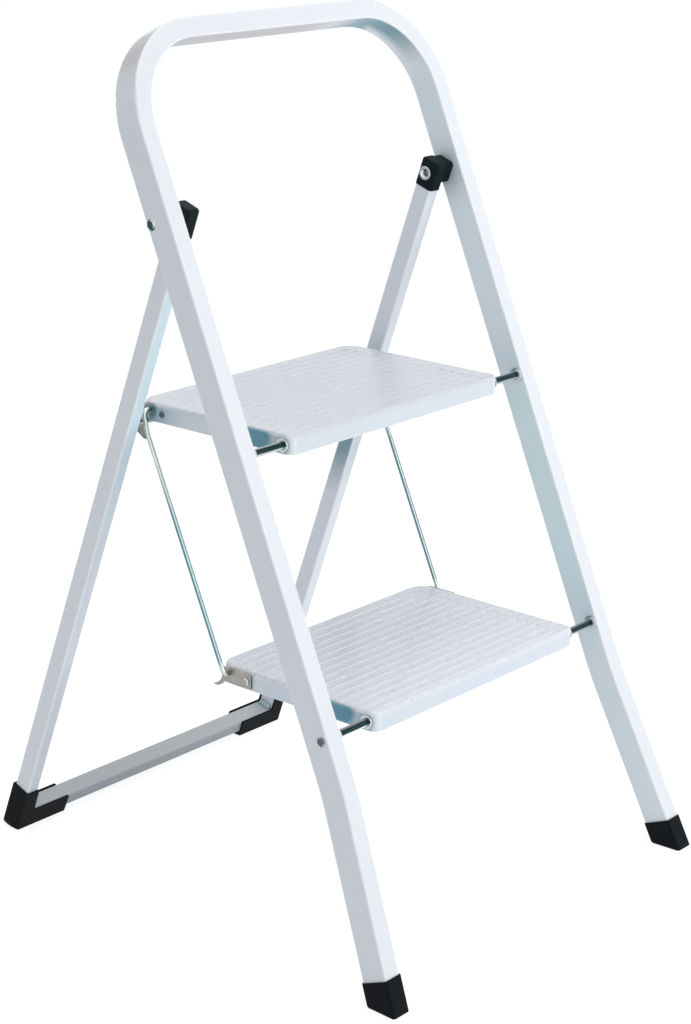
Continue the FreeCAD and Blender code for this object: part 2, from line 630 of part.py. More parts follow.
# Rear feet: L-shaped channels round the leg's end and along the bar, level at the floor.
foot = new_body("rear_foot_right", REAR)
sketch = new_sketch(foot, "XZ_Plane", "Foot_outline")
outer = "(rear_half + foot_wall)"
inner = "(rear_half - rear_taper * foot_up - rear_wide)"
outline(sketch, [
    ("%s - foot_round" % outer, "-foot_under"),
    (outer, "foot_round - foot_under"),
    ("%s - rear_taper * foot_up" % outer, "foot_up"),
    (inner, "foot_up"),
    (inner, "cheek_top + cheek_round"),
    ("%s - cheek_round" % inner, "cheek_top"),
    ("foot_inner + cheek_round", "cheek_top"),
    ("foot_inner", "cheek_top - cheek_round"),
    ("foot_inner + arm_slant", "cheek_round - foot_under"),
    ("foot_inner + arm_slant + cheek_round", "-foot_under"),
], {0: ("foot_round", 1), 4: ("cheek_round", -1), 6: ("cheek_round", 1), 8: ("cheek_round", 1)})
pad(foot, sketch, "rear_deep + 2 * foot_wall", middle=True)
sketch = new_sketch(foot, "XZ_Plane", "Foot_channel")
outline(sketch, [
    ("rear_half - rear_taper * rear_leg_end", "rear_leg_end"),
    ("rear_half - rear_taper * (foot_up + cut_over)", "foot_up + cut_over"),
    ("0", "foot_up + cut_over"),
    ("0", "bar_low"),
    ("rear_half - rear_taper * bar_low - rear_wide - cheek_round", "bar_low"),
    ("rear_half - rear_taper * rear_leg_end - rear_wide", "rear_leg_end"),
])
pocket(foot, sketch, "rear_deep", middle=True)
sketch = new_sketch(foot, "YZ_Plane", "Foot_floor")
outline(sketch, [
    ("-cut_over", "cut_over * tan(rear_lean)"),
    ("-cut_over", "-2 * cut_over"),
    ("cut_over", "-2 * cut_over"),
    ("cut_over", "-cut_over * tan(rear_lean)"),
])
pocket(foot, sketch, "2 * (rear_half + cut_over)", middle=True)
keep(foot, mirrored(foot, "rear_foot_left"))

# Caps on the rear legs' tops; each carries the block that spaces the two frames.
cap = new_body("rear_cap_right", REAR)
low = "(pivot_up - cap_under)"
sketch = new_sketch(cap, "XY_Plane", "Cap_blank", low)
cap_out = "(rear_half - rear_taper * %s + cap_wall)" % low
rounded_box(sketch, ("%s - rear_wide - 2 * cap_wall" % cap_out, "-rear_deep / 2 - cap_wall"),
            (cap_out, "rear_deep / 2 + cap_wall"), ["cap_round"] * 4)
pad(cap, sketch, "cap_over + cap_under", along=REAR_SLOPE)
soften(cap, "Fillet", "cap_round - rim_round",
       lambda edge: level(edge, "Z", worth("pivot_up + cap_over")))
sketch = new_sketch(cap, "XY_Plane", "Cap_socket", leg_top)
socket_out = "(rear_half - rear_taper * %s)" % leg_top
rounded_box(sketch, ("%s - rear_wide" % socket_out, "-rear_deep / 2"),
            (socket_out, "rear_deep / 2"), ["tube_round"] * 4)
pocket(cap, sketch, "cap_over + cap_under", along=REAR_SLOPE * -1)
sketch = new_sketch(cap, "YZ_Plane", "Spacer_block", "%s - slide_gap" % LEG_IN)
rounded_box(sketch, ("pivot_on_rear - spacer_deep / 2", "pivot_up - spacer_under"),
            ("pivot_on_rear + spacer_deep / 2", "pivot_up + spacer_over"), ["cap_round"] * 4)
pad(cap, sketch, "%s - slide_gap - (rear_half - rear_taper * (pivot_up - cap_under))" % LEG_IN,
    back=True)
sketch = new_sketch(cap, "YZ_Plane", "Cap_pivot_hole")
circle(sketch, ("pivot_on_rear", "pivot_up"), "rivet_radius + running_gap")
pocket(cap, sketch, "2 * (leg_half + cut_over)", middle=True)
keep(cap, mirrored(cap, "rear_cap_left"))

# Latch rod: seated in the rear legs' inner walls.
latch = new_body("latch_rod", REAR)
sketch = new_sketch(latch, "YZ_Plane", "Latch_rod")
circle(sketch, ("latch_behind", "latch_up"), "latch_radius")
pad(latch, sketch, "2 * (%s + latch_inside)" % LATCH_LEG_IN, middle=True)
soften(latch, "Chamfer", "rod_chamfer", lambda edge: abs(edge.BoundBox.XLength) < NEAR)
keep(latch)


def tread(label, placement):
    """Pressed step: a shallow pan with a skirt all round and pressed grooves across."""
    body = new_body(label, placement)
    plan = new_sketch(body, "XY_Plane", label + "_plan", "-tread_drop")
    rounded_box(plan, ("-tread_half", "-tread_front"), ("tread_half", "tread_back"),
                ["tread_front_round", "tread_front_round", "tread_rear_round",
                 "tread_rear_round"])
    pad(body, plan, "tread_rise + tread_drop")
    soften(body, "Fillet", "tread_edge", lambda edge: level(edge, "Z", S["tread_rise"]))
    doc.recompute()
    solid = body.Tip
    under = [number for number, shape in enumerate(solid.Shape.Faces)
             if shape.BoundBox.ZMax < NEAR - S["tread_drop"]][0]
    shell = body.newObject("PartDesign::Thickness", label + "_shell")
    shell.Base = (solid, ["Face%d" % (under + 1)])
    shell.Reversed = True
    shell.setExpression("Value", bound("sheet"))
    body.Tip = shell
    first = "(groove_first - tread_front)"
    rib = new_sketch(body, "XY_Plane", label + "_rib", "tread_rise - sheet")
    slot(rib, first, "groove_half + sheet * 3 / 4", "groove_wide / 2 + sheet * 3 / 4")
    rib_pad = pad(body, rib, "groove_deep", back=True)
    groove = new_sketch(body, "XY_Plane", label + "_groove", "tread_rise")
    slot(groove, first, "groove_half", "groove_wide / 2")
    groove_cut = pocket(body, groove, "groove_deep")
    row = body.newObject("PartDesign::LinearPattern", label + "_grooves")
    row.Originals = [rib_pad, groove_cut]
    row.Direction = (origin_plane(body, "XZ_Plane"), [""])
    row.Reversed = True
    row.setExpression("Length", bound("(groove_count - 1) * groove_pitch"))
    row.setExpression("Occurrences", bound("groove_count"))
    body.Tip = row
    holes = new_sketch(body, "YZ_Plane", label + "_rod_holes")
    circle(holes, ("0", "0"), "bush_radius")
    pocket(body, holes, "2 * (tread_half + cut_over)", middle=True)
    return body


def slot(sketch, line, length, radius):
    """Round-ended slot across the step, centred on a line behind the pivot."""
    outline(sketch, [
        ("-(%s)" % length, "%s - (%s)" % (line, radius)),
        (length, "%s - (%s)" % (line, radius)),
        ("%s + %s" % (length, radius), line),
        (length, "%s + %s" % (line, radius)),
        ("-(%s)" % length, "%s + %s" % (line, radius)),
        ("-(%s) - (%s)" % (length, radius), line),
    ], {1: (radius, 1), 2: (radius, 1), 4: (radius, 1), 5: (radius, 1)})


def side_holes(body, name, holes):
    """Round holes through both side skirts, each at a place with a radius."""
    drilled = new_sketch(body, "YZ_Plane", name)
    for place, radius in holes:
        circle(drilled, place, radius)
    pocket(body, drilled, "2 * (tread_half + cut_over)", middle=True)


# Upper step, with relieved rear corners where the latch rod and the hook plates pass.
upper = tread("upper_tread", UPPER)
sketch = new_sketch(upper, "YZ_Plane", "Corner_relief")
outline(sketch, [
    ("relief_start", "-tread_drop - cut_over"),
    ("relief_end", "-tread_drop - cut_over"),
    ("relief_end", "relief_top"),
    ("relief_start", "relief_top"),
])
pocket(upper, sketch, "2 * (tread_half + cut_over)", middle=True)
side_holes(upper, "Upper_side_holes", [
    (("link_back", "link_rise"), "link_radius + link_pass_gap"),
    (("hook_rivet_back", "0"), "small_rivet"),
])
keep(upper)

# Lower step, the same pressing without the relief.
lower = tread("lower_tread", LOWER)
side_holes(lower, "Lower_side_holes", [
    (("link_back", "link_rise"), "link_radius + link_pass_gap"),
    (("bracket_rivet_back", "0"), "small_rivet"),
])
keep(lower)

for name, placement in (("upper", UPPER), ("lower", LOWER)):
    right = bush(name + "_bush", placement, "tread_half", -1, "rod_radius + running_gap")
    keep(group(name + "_tread_bushes", [right, mirrored(right, name + "_bush_twin")]))

# Hook plates inside the upper step's skirts: each bridges the latch rod and reaches down behind it.
hook = new_body("upper_hook_right", UPPER)
hook_face = "(tread_half - sheet - hook_inset)"
notch = "(latch_radius + hook_gap)"
sketch = new_sketch(hook, "YZ_Plane", "Hook_plate", hook_face)
outline(sketch, [
    ("hook_front + corner_round", "-hook_low"),
    ("latch_back - 2 * " + notch, "-hook_low"),
    ("latch_back - " + notch, "-latch_drop"),
    ("latch_back", "%s - latch_drop" % notch),
    ("latch_back + " + notch, "-latch_drop"),
    ("claw_front", "-claw_rear_low"),
    ("claw_front + corner_round", "-claw_low"),
    ("claw_front + corner_round * 3", "-claw_low"),
    ("claw_back", "-claw_rear_low"),
    ("claw_back - corner_round / 2", "-latch_drop - 2 * corner_round"),
    ("latch_back + %s + hook_neck" % notch, "-latch_drop"),
    ("latch_back + %s + hook_neck" % notch, "hook_rise - corner_round"),
    ("latch_back + %s + hook_neck - corner_round" % notch, "hook_rise"),
    ("hook_front + corner_round", "hook_rise"),
    ("hook_front", "hook_rise - corner_round"),
    ("hook_front", "corner_round - hook_low"),
], {2: (notch, -1), 3: (notch, -1), 11: ("corner_round", 1), 13: ("corner_round", 1),
    15: ("corner_round", 1)})
pad(hook, sketch, "plate", back=True)
sketch = new_sketch(hook, "YZ_Plane", "Hook_boss", hook_face)
circle(sketch, ("hook_rivet_back", "0"), "hook_boss")
pad(hook, sketch, "hook_inset")
sketch = new_sketch(hook, "YZ_Plane", "Hook_holes")
circle(sketch, ("hook_rivet_back", "0"), "small_rivet")
circle(sketch, ("link_back", "link_rise"), "link_radius + running_gap")
pocket(hook, sketch, "2 * (tread_half + cut_over)", middle=True)
keep(hook, mirrored(hook, "upper_hook_left"))

# Brackets outside the lower step's skirts, with a lug that points down at the rear.
bracket = new_body("lower_bracket_right", LOWER)
sketch = new_sketch(bracket, "YZ_Plane", "Bracket_plate", "tread_half")
outline(sketch, [
    ("bracket_front + corner_round", "-bracket_drop"),
    ("bracket_back", "-bracket_drop"),
    ("lug_back - corner_round", "-lug_drop"),
    ("lug_back", "corner_round / 2 - lug_drop"),
    ("bracket_back + corner_round", "-corner_round"),
    ("bracket_back + corner_round", "bracket_rise - 2 * corner_round"),
    ("bracket_back - corner_round", "bracket_rise"),
    ("bracket_front + corner_round", "bracket_rise"),
    ("bracket_front", "bracket_rise - corner_round"),
    ("bracket_front", "corner_round - bracket_drop"),
], {1: ("lug_back - bracket_back", 1), 3: ("lug_back - bracket_back + corner_round", -1),
    5: ("2 * corner_round", 1), 7: ("corner_round", 1), 9: ("corner_round", 1)})
pad(bracket, sketch, "plate")
sketch = new_sketch(bracket, "YZ_Plane", "Bracket_holes")
circle(sketch, ("bracket_rivet_back", "0"), "small_rivet")
circle(sketch, ("link_back", "link_rise"), "link_radius + link_hole_gap")
pocket(bracket, sketch, "2 * (tread_half + cut_over)", middle=True)
keep(bracket, mirrored(bracket, "lower_bracket_left"))


def plate_rivet(label, placement, back, outer, inner, head):
    """Rivet across a skirt and a plate: domed head outside, low closed end inside."""
    body = new_body(label, placement)
    shank = new_sketch(body, "YZ_Plane", label + "_shank", outer)
    circle(shank, (back, "0"), "small_rivet")
    pad(body, shank, "%s - (%s)" % (outer, inner), back=True)
    for name, face_at, thick, turned in (("_head", outer, "small_head_thick", False),
                                         ("_tail", inner, "small_tail", True)):
        end = new_sketch(body, "YZ_Plane", label + name, face_at)
        circle(end, (back, "0"), head)
        pad(body, end, thick, back=turned)
        rim = worth("%s %s %s" % (face_at, "-" if turned else "+", thick))
        soften(body, "Fillet", thick + " * 3 / 4", lambda edge: level(edge, "X", rim))
    return body


hook_rivet = plate_rivet("hook_rivet", UPPER, "hook_rivet_back", "tread_half",
                         hook_face + " - plate", "hook_head")
keep(group("upper_hook_rivets", [hook_rivet, mirrored(hook_rivet, "hook_rivet_twin")]))
bracket_rivet = plate_rivet("bracket_rivet", LOWER, "bracket_rivet_back", "tread_half + plate",
                            "(tread_half - sheet)", "bracket_head")
keep(group("lower_bracket_rivets",
           [bracket_rivet, mirrored(bracket_rivet, "bracket_rivet_twin")]))

# Link rods: parallel to the front legs, with both ends bent inward through the plates.
LINK_FOOT = LOWER_PIVOT + V(0, worth("link_back"), S["link_rise"])
link_length = "(upper_rod_height - lower_rod_height)"
low_end = "(tread_half - sheet - link_tail)"
high_end = "(%s - plate - link_tail)" % hook_face


def bent_line(corners, radii):
    """Wire through the corners, with an arc of its own radius at each inner corner."""
    edges = []
    start = corners[0]
    for before, corner, after, radius in zip(corners, corners[1:], corners[2:], radii):
        into = (corner - before).normalize()
        out = (after - corner).normalize()
        turn = into.getAngle(out)
        reach = radius * math.tan(turn / 2)
        first = corner - into * reach
        last = corner + out * reach
        inward = (out - into).normalize()
        middle = corner + inward * (radius / math.cos(turn / 2) - radius)
        edges += [Part.makeLine(start, first), Part.Arc(first, middle, last).toShape()]
        start = last
    edges.append(Part.makeLine(start, corners[-1]))
    return Part.Wire(edges)


# This rod bends in two planes, so it is swept along a line in space.
line = bent_line([
    V(worth(low_end), 0, 0),
    V(worth("link_out"), 0, 0),
    V(worth("link_out"), worth("link_kink"), worth(link_length + " - link_neck")),
    V(worth("link_out"), 0, worth(link_length)),
    V(worth(high_end), 0, worth(link_length)),
], [worth("link_bend"), worth("kink_bend"), worth("link_bend")])
ring = Part.Wire(Part.makeCircle(worth("link_radius"), V(worth(low_end), 0, 0), X_AXIS))
link = doc.addObject("Part::Feature", "link_rod_right")
link.Label = "link_rod_right"
link.Shape = line.makePipeShell([ring], True, True)
link.Placement = FreeCAD.Placement(LINK_FOOT, FRONT.Rotation)
bodies.append(link)
keep(link, mirrored(link, "link_rod_left"))

rings = []
for name, lift, face_at in (("low", "0", "tread_half - sheet - slide_gap - tread_edge / 2"),
                            ("high", link_length, hook_face + " - plate - slide_gap")):
    ring = new_body("retainer_" + name, FreeCAD.Placement(LINK_FOOT, FRONT.Rotation))
    sketch = new_sketch(ring, "YZ_Plane", "Retainer_" + name, face_at)
    circle(sketch, ("0", lift), "retainer_radius")
    circle(sketch, ("0", lift), "link_radius")
    pad(ring, sketch, "retainer_thick", back=True)
    rings.append(ring)
keep(group("link_retainers_right", rings))
keep(group("link_retainers_left", [mirrored(ring, ring.Label + "_twin") for ring in rings]))

doc.recompute()

# The origin goes under the middle of the stool.
low_y = min(part.Shape.BoundBox.YMin for part in parts)
high_y = max(part.Shape.BoundBox.YMax for part in parts)
for body in bodies:
    body.Placement.Base = body.Placement.Base - V(0, (low_y + high_y) / 2, 0)
doc.recompute()

# Nothing is written unless every object and every piece is sound.
for item in doc.Objects:
    if "Invalid" in item.State or "Error" in item.State:
        raise RuntimeError("%s failed: %s" % (item.Label, item.State))
for part in parts:
    if part.Shape.isNull() or not part.Shape.isValid():
        raise RuntimeError("%s has no sound shape" % part.Label)
os.makedirs("parts", exist_ok=True)
for part in parts:
    part.Shape.exportStep(os.path.join("parts", part.Label + ".step"))
print("%d pieces" % len(parts))
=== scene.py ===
import json
import math

import bpy
from mathutils import Matrix, Vector, noise


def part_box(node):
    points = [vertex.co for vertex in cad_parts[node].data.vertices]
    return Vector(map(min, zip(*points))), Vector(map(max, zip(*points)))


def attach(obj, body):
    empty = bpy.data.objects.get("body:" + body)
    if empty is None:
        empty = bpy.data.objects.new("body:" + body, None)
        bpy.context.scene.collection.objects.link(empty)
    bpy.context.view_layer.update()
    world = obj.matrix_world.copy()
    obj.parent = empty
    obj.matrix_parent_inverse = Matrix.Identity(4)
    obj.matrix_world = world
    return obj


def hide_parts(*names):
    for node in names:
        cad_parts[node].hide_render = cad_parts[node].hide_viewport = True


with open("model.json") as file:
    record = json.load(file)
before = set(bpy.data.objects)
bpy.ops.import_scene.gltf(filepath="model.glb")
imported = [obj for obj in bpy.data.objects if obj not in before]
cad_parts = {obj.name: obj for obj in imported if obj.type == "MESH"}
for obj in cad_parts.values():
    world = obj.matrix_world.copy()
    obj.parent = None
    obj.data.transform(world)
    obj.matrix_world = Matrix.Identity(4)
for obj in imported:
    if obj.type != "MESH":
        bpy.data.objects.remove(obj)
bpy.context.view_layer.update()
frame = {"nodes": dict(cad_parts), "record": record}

# Places on the stool at rest, in metres. The pivots hold Y and Z
UPPER_PIVOT = (-0.0760972, 0.4835678)
LOWER_PIVOT = (-0.1815164, 0.2352156)
LINK_PIVOT = (0.0998886, 0.4865678)
UPPER_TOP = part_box("upper_tread")[1][2]
LOWER_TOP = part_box("lower_tread")[1][2]
GROOVES = 15
GROOVE_PITCH = 0.012899
FIRST_GROOVE = -0.0045  # Y of a step's front groove, from the step's pivot
OUTER_FACE = 0.2216  # half the width over the front legs
REAR_LEAN = math.radians(20.25)
REAR_FRAME = Matrix.Translation((0, 0.278995, 0)) @ Matrix.Rotation(REAR_LEAN, 4, "X")

# Directions
UP = (0, 0, 1)
LEFT = (-1, 0, 0)
RIGHT = (1, 0, 0)
FORWARD = (0, -1, 0)
FRONT_LOOK = (0.0, 0.9205, -0.3907)  # across the broad faces of the front frame
REAR_LOOK = (0.0, 0.9382, 0.3461)  # across the broad faces of the rear legs
FRONT_PLANE = -0.2431  # the front frame's middle plane, measured along FRONT_LOOK
GRIP_UNDERSIDE = (0, -0.39, -0.92)
HEAD_RUN = (0.64, -0.60, 0.48)  # the shading of small heads runs along it
WIRE_RUN = (0.656, -0.755, 0.0)  # the shading of the link rods runs along it

# Heights and sideways places between which painted shade and painted light come in
GRIP_HEIGHT = (0.74, 0.83)
RIGHT_BEND_SIDE = (0.085, 0.118)
UNDERSIDE_SIDE = (0.12, 0.05)
UNDERSIDE_TEAL_SIDE = (-0.10, -0.17)
RIGHT_LEG_SIDE = 0.1
BETWEEN_STEPS_LOW = (0.20, 0.28)
BETWEEN_STEPS_HIGH = (0.476, 0.462)
ABOVE_STEP_HEIGHT = (0.34, 0.46)
LINK_BRIGHT = (0.246, 0.44)
FAR_LEG_SHADE = (0.31, 0.365)


# Node helpers
class Graph:
    """Adds nodes to a node tree and links them."""

    def __init__(self, tree):
        self.tree = tree

    def feed(self, socket, value):
        if isinstance(value, bpy.types.NodeSocket):
            self.tree.links.new(value, socket)
        else:
            socket.default_value = value

    def add(self, kind, inputs=None, **settings):
        node = self.tree.nodes.new(kind)
        for name, value in settings.items():
            setattr(node, name, value)
        for name, value in (inputs or {}).items():
            self.feed(node.inputs[name], value)
        return node

    def math(self, operation, a, b=0.0, clamp=False):
        return self.add("ShaderNodeMath", {0: a, 1: b}, operation=operation,
                        use_clamp=clamp).outputs[0]

    def product(self, result, *factors):
        for factor in factors:
            result = self.math("MULTIPLY", result, factor)
        return result

    def vectors(self, operation, a, b):
        return self.add("ShaderNodeVectorMath", {0: a, 1: b}, operation=operation).outputs

    def remap(self, value, low, high, to_low=0.0, to_high=1.0):
        inputs = {"Value": value, "From Min": low, "From Max": high, "To Min": to_low,
                  "To Max": to_high}
        return self.add("ShaderNodeMapRange", inputs).outputs[0]

    def mix(self, factor, a, b, blend="MIX"):
        node = self.add("ShaderNodeMix", data_type="RGBA", blend_type=blend)
        self.feed(node.inputs[0], factor)
        self.feed(node.inputs[6], a)
        self.feed(node.inputs[7], b)
        return node.outputs[2]

    def noise(self, coordinates, scale, detail=3.0, rough=0.55):
        inputs = {"Vector": coordinates, "Scale": scale, "Detail": detail, "Roughness": rough}
        return self.add("ShaderNodeTexNoise", inputs).outputs["Fac"]

    def stretched(self, coordinates, scale):
        return self.add("ShaderNodeMapping", {"Vector": coordinates, "Scale": scale}).outputs[0]

    def bump(self, height, strength, distance):
        inputs = {"Height": height, "Strength": strength, "Distance": distance}
        return self.add("ShaderNodeBump", inputs).outputs[0]

    def open_share(self, distance):
        """How little of the surroundings within a distance is hidden by other surfaces."""
        return self.add("ShaderNodeAmbientOcclusion", {"Distance": distance},
                        samples=8).outputs["AO"]

    def place(self):
        """Point on the piece in its own frame, which is the stool's frame at rest."""
        return self.add("ShaderNodeTexCoord").outputs["Object"]

    def axes(self):
        return self.add("ShaderNodeSeparateXYZ", {0: self.place()}).outputs

    def facing(self, direction):
        """How far the piece's own surface normal points along a fixed direction, -1 to 1."""
        normal = self.add("ShaderNodeTexCoord").outputs["Normal"]
        return self.vectors("DOT_PRODUCT", normal, direction)["Value"]

    def side_distance(self, middle, flatten=1.0):
        """Distance from a point given by Y and Z, seen from the side. flatten scales Y."""
        spot = self.stretched(self.place(), (0.0, flatten, 1.0))
        return self.vectors("DISTANCE", spot, (0.0, flatten * middle[0], middle[1]))["Value"]

    def ramp(self, value, stops):
        """Colour ramp over -1 to 1, from rows of place, red, green and blue."""
        node = self.add("ShaderNodeValToRGB", {0: self.remap(value, -1.0, 1.0)})
        keys = node.color_ramp.elements
        for spot, *_ in stops[2:]:
            keys.new((spot + 1) / 2)
        for key, (spot, *shade) in zip(keys, stops):
            key.position = (spot + 1) / 2
            key.color = colour(*shade)
        return node.outputs["Color"]


def colour(red, green, blue):
    return (red, green, blue, 1.0)


WHITE = colour(1.0, 1.0, 1.0)
# Colours of painted highlights on edges and corners
WHITE_HIGHLIGHT = colour(0.99, 0.995, 1.0)
COOL_HIGHLIGHT = colour(0.95, 0.975, 1.0)
COOL_SHADE = colour(0.45, 0.58, 0.63)
TEAL_SHADE = colour(0.20, 0.40, 0.46)
# Painted shade in the creases of coated pieces
COAT_CREASE_SHADE = colour(0.30, 0.37, 0.42)
COAT_SCRATCH = colour(0.52, 0.54, 0.57)
# Painted shade in the creases of metal pieces
METAL_CREASE_SHADE = colour(0.04, 0.045, 0.045)
DUST = colour(0.08, 0.085, 0.09)


# Shader groups
def new_group(name, inputs, outputs):
    """Empty shader group with number inputs; returns its graph, inputs and outputs."""
    group = bpy.data.node_groups.new(name, "ShaderNodeTree")
    for socket, value in inputs.items():
        item = group.interface.new_socket(socket, in_out="INPUT", socket_type="NodeSocketFloat")
        item.default_value = value
    for socket, kind in outputs.items():
        group.interface.new_socket(socket, in_out="OUTPUT", socket_type="NodeSocket" + kind)
    graph = Graph(group)
    return graph, graph.add("NodeGroupInput").outputs, graph.add("NodeGroupOutput").inputs


def powder_group():
    """Sprayed powder coat: rounded fine bumps, mottling and slow variation."""
    graph, given, result = new_group(
        "Powder", {"Grain": 900.0, "Depth": 0.25},
        {"Mottle": "Float", "Drift": "Float", "Normal": "Vector"})
    place = graph.place()
    fine = graph.noise(place, given["Grain"], 2.0, 0.5)
    broad = graph.noise(place, 14.0, 4.0)
    height = graph.math("ADD", fine, graph.product(graph.noise(place, 260.0), 0.7))
    graph.feed(result["Mottle"], graph.remap(fine, 0.35, 0.68))
    graph.feed(result["Drift"], graph.remap(broad, 0.3, 0.72))
    graph.feed(result["Normal"], graph.bump(height, given["Depth"], 0.0004))
    return graph.tree


def edge_group():
    """Masks of outer edges, of creases and, with a longer reach, of hollows."""
    graph, given, result = new_group(
        "Edges", {"Radius": 0.0012, "Reach": 0.012, "Far": 0.06},
        {"Edge": "Float", "Crease": "Float", "Hollow": "Float"})
    soft = graph.add("ShaderNodeBevel", {"Radius": given["Radius"]}, samples=6).outputs[0]
    true = graph.add("ShaderNodeNewGeometry").outputs["True Normal"]
    near = graph.open_share(given["Reach"])
    edge = graph.remap(graph.vectors("DOT_PRODUCT", soft, true)["Value"], 0.995, 0.86)
    graph.feed(result["Edge"], graph.product(edge, graph.remap(near, 0.4, 0.8)))
    graph.feed(result["Crease"], graph.remap(near, 0.85, 0.25))
    graph.feed(result["Hollow"], graph.remap(graph.open_share(given["Far"]), 0.90, 0.38))
    return graph.tree


def scuff_group():
    """Sparse fine scratches and rubbed patches."""
    graph, given, result = new_group(
        "Scuffs", {"Scale": 90.0, "Amount": 0.5},
        {"Scratch": "Float", "Rub": "Float"})
    place = graph.place()
    bent = graph.vectors("ADD", place, graph.noise(place, 30.0, 2.0))[0]
    lines = graph.add("ShaderNodeTexVoronoi", {"Vector": bent, "Scale": given["Scale"]},
                      feature="DISTANCE_TO_EDGE").outputs["Distance"]
    thin = graph.remap(lines, 0.012, 0.0)
    patch = graph.remap(graph.noise(place, 22.0, 5.0, 0.7), 0.56, 0.7)
    graph.feed(result["Scratch"], graph.product(thin, patch, given["Amount"]))
    graph.feed(result["Rub"], graph.product(patch, given["Amount"]))
    return graph.tree


def streak_group():
    """Drawn or turned metal: fine lines along X, and clouds."""
    graph, given, result = new_group(
        "Streaks", {"Depth": 0.12},
        {"Line": "Float", "Cloud": "Float", "Normal": "Vector"})
    place = graph.place()
    line = graph.noise(graph.stretched(place, (40.0, 2400.0, 2400.0)), 1.0, 3.0, 0.65)
    cloud = graph.noise(place, 160.0, 4.0, 0.6)
    graph.feed(result["Line"], graph.remap(line, 0.3, 0.7))
    graph.feed(result["Cloud"], graph.remap(cloud, 0.3, 0.7))
    graph.feed(result["Normal"], graph.bump(line, given["Depth"], 0.0002))
    return graph.tree


def grain_group():
    """Moulded plastic or rubber: pebbled grain and dust."""
    graph, given, result = new_group(
        "Moulded", {"Grain": 1500.0},
        {"Pebble": "Float", "Dust": "Float", "Normal": "Vector"})
    place = graph.place()
    cells = graph.add("ShaderNodeTexVoronoi", {"Vector": place, "Scale": given["Grain"]},
                      feature="SMOOTH_F1").outputs["Distance"]
    dust = graph.noise(place, 120.0, 6.0, 0.7)
    graph.feed(result["Pebble"], graph.remap(cells, 0.1, 0.7))
    graph.feed(result["Dust"], graph.remap(dust, 0.45, 0.75))
    graph.feed(result["Normal"], graph.bump(cells, 0.3, 0.0002))
    return graph.tree


POWDER = powder_group()
EDGES = edge_group()
SCUFFS = scuff_group()
STREAKS = streak_group()
MOULDED = grain_group()


def use(graph, group, **inputs):
    node = graph.add("ShaderNodeGroup", node_tree=group)
    for name, value in inputs.items():
        graph.feed(node.inputs[name], value)
    return node.outputs


# Kinds of material
def new_material(name, **constants):
    """Material with one Principled shader; constants go on the shader's own sockets."""
    material = bpy.data.materials.new(name)
    material.use_nodes = True
    material.node_tree.nodes.clear()
    graph = Graph(material.node_tree)
    shader = graph.add("ShaderNodeBsdfPrincipled")
    output = graph.add("ShaderNodeOutputMaterial")
    graph.feed(output.inputs["Surface"], shader.outputs[0])
    for socket, value in constants.items():
        shader.inputs[socket.replace("_", " ")].default_value = value
    return material, graph, shader.inputs


def cover(graph, shader, base, roughness, normal):
    graph.feed(shader["Base Color"], base)
    graph.feed(shader["Roughness"], roughness)
    graph.feed(shader["Normal"], normal)


def corner_highlight(graph, base, light, look, bright):
    """Painted highlight along the rounded corners of a tube, patchy. look is where its broad faces
    point.
    """
    share = graph.math("ABSOLUTE", graph.facing(look))
    across = graph.math("SQRT", graph.math("SUBTRACT", 1.0, graph.product(share, share), True))
    corner = graph.remap(graph.product(share, across), 0.06, 0.24)
    patchy = graph.remap(graph.noise(graph.place(), 55.0, 4.0, 0.65), 0.30, 0.62, 0.6, 1.0)
    return graph.mix(graph.product(corner, patchy, bright), base, light)


def coat(name, body, shade, light, grain, depth, rough, far=0.06, hollow=0.35,
         hollow_tint=COOL_SHADE, crease=0.35, below=None, pattern=None, ridge=None):
    """Powder-coated steel. Hollows darken with painted shade, only below that height where one is
    given. pattern repaints the base by place before painted highlights, painted shade and wear
    are added. ridge holds the direction that a tube's broad faces look in and how strong the
    painted highlight along its rounded corners is."""
    material, graph, shader = new_material(name, Coat_Weight=0.22, Coat_Roughness=0.16,
                                           Specular_IOR_Level=0.5)
    powder = use(graph, POWDER, Grain=grain, Depth=depth)
    edges = use(graph, EDGES, Radius=0.0022, Reach=0.010, Far=far)
    scuffs = use(graph, SCUFFS, Scale=70.0, Amount=0.6)
    base = graph.mix(powder["Mottle"], shade, body)
    base = graph.mix(graph.product(powder["Drift"], 0.30), base, shade)
    if pattern:
        base = pattern(graph, base)
    if ridge:
        base = corner_highlight(graph, base, light, *ridge)
    # Painted highlight along the edges
    base = graph.mix(graph.product(edges["Edge"], 0.75), base, light)
    # Painted shade in hollows and creases
    shadow = graph.product(edges["Hollow"], hollow)
    if below:
        shadow = graph.product(shadow, graph.remap(graph.axes()["Z"], below + 0.001, below))
    base = graph.mix(shadow, base, hollow_tint, "MULTIPLY")
    base = graph.mix(graph.product(edges["Crease"], crease), base, COAT_CREASE_SHADE)
    base = graph.mix(graph.product(scuffs["Scratch"], 0.35), base, COAT_SCRATCH)
    wear = graph.math("ADD", graph.remap(powder["Drift"], 0.0, 1.0, rough, rough + 0.08),
                      graph.product(scuffs["Rub"], 0.10))
    wear = graph.math("SUBTRACT", wear, graph.product(edges["Edge"], 0.12))
    cover(graph, shader, base, wear, powder["Normal"])
    return material


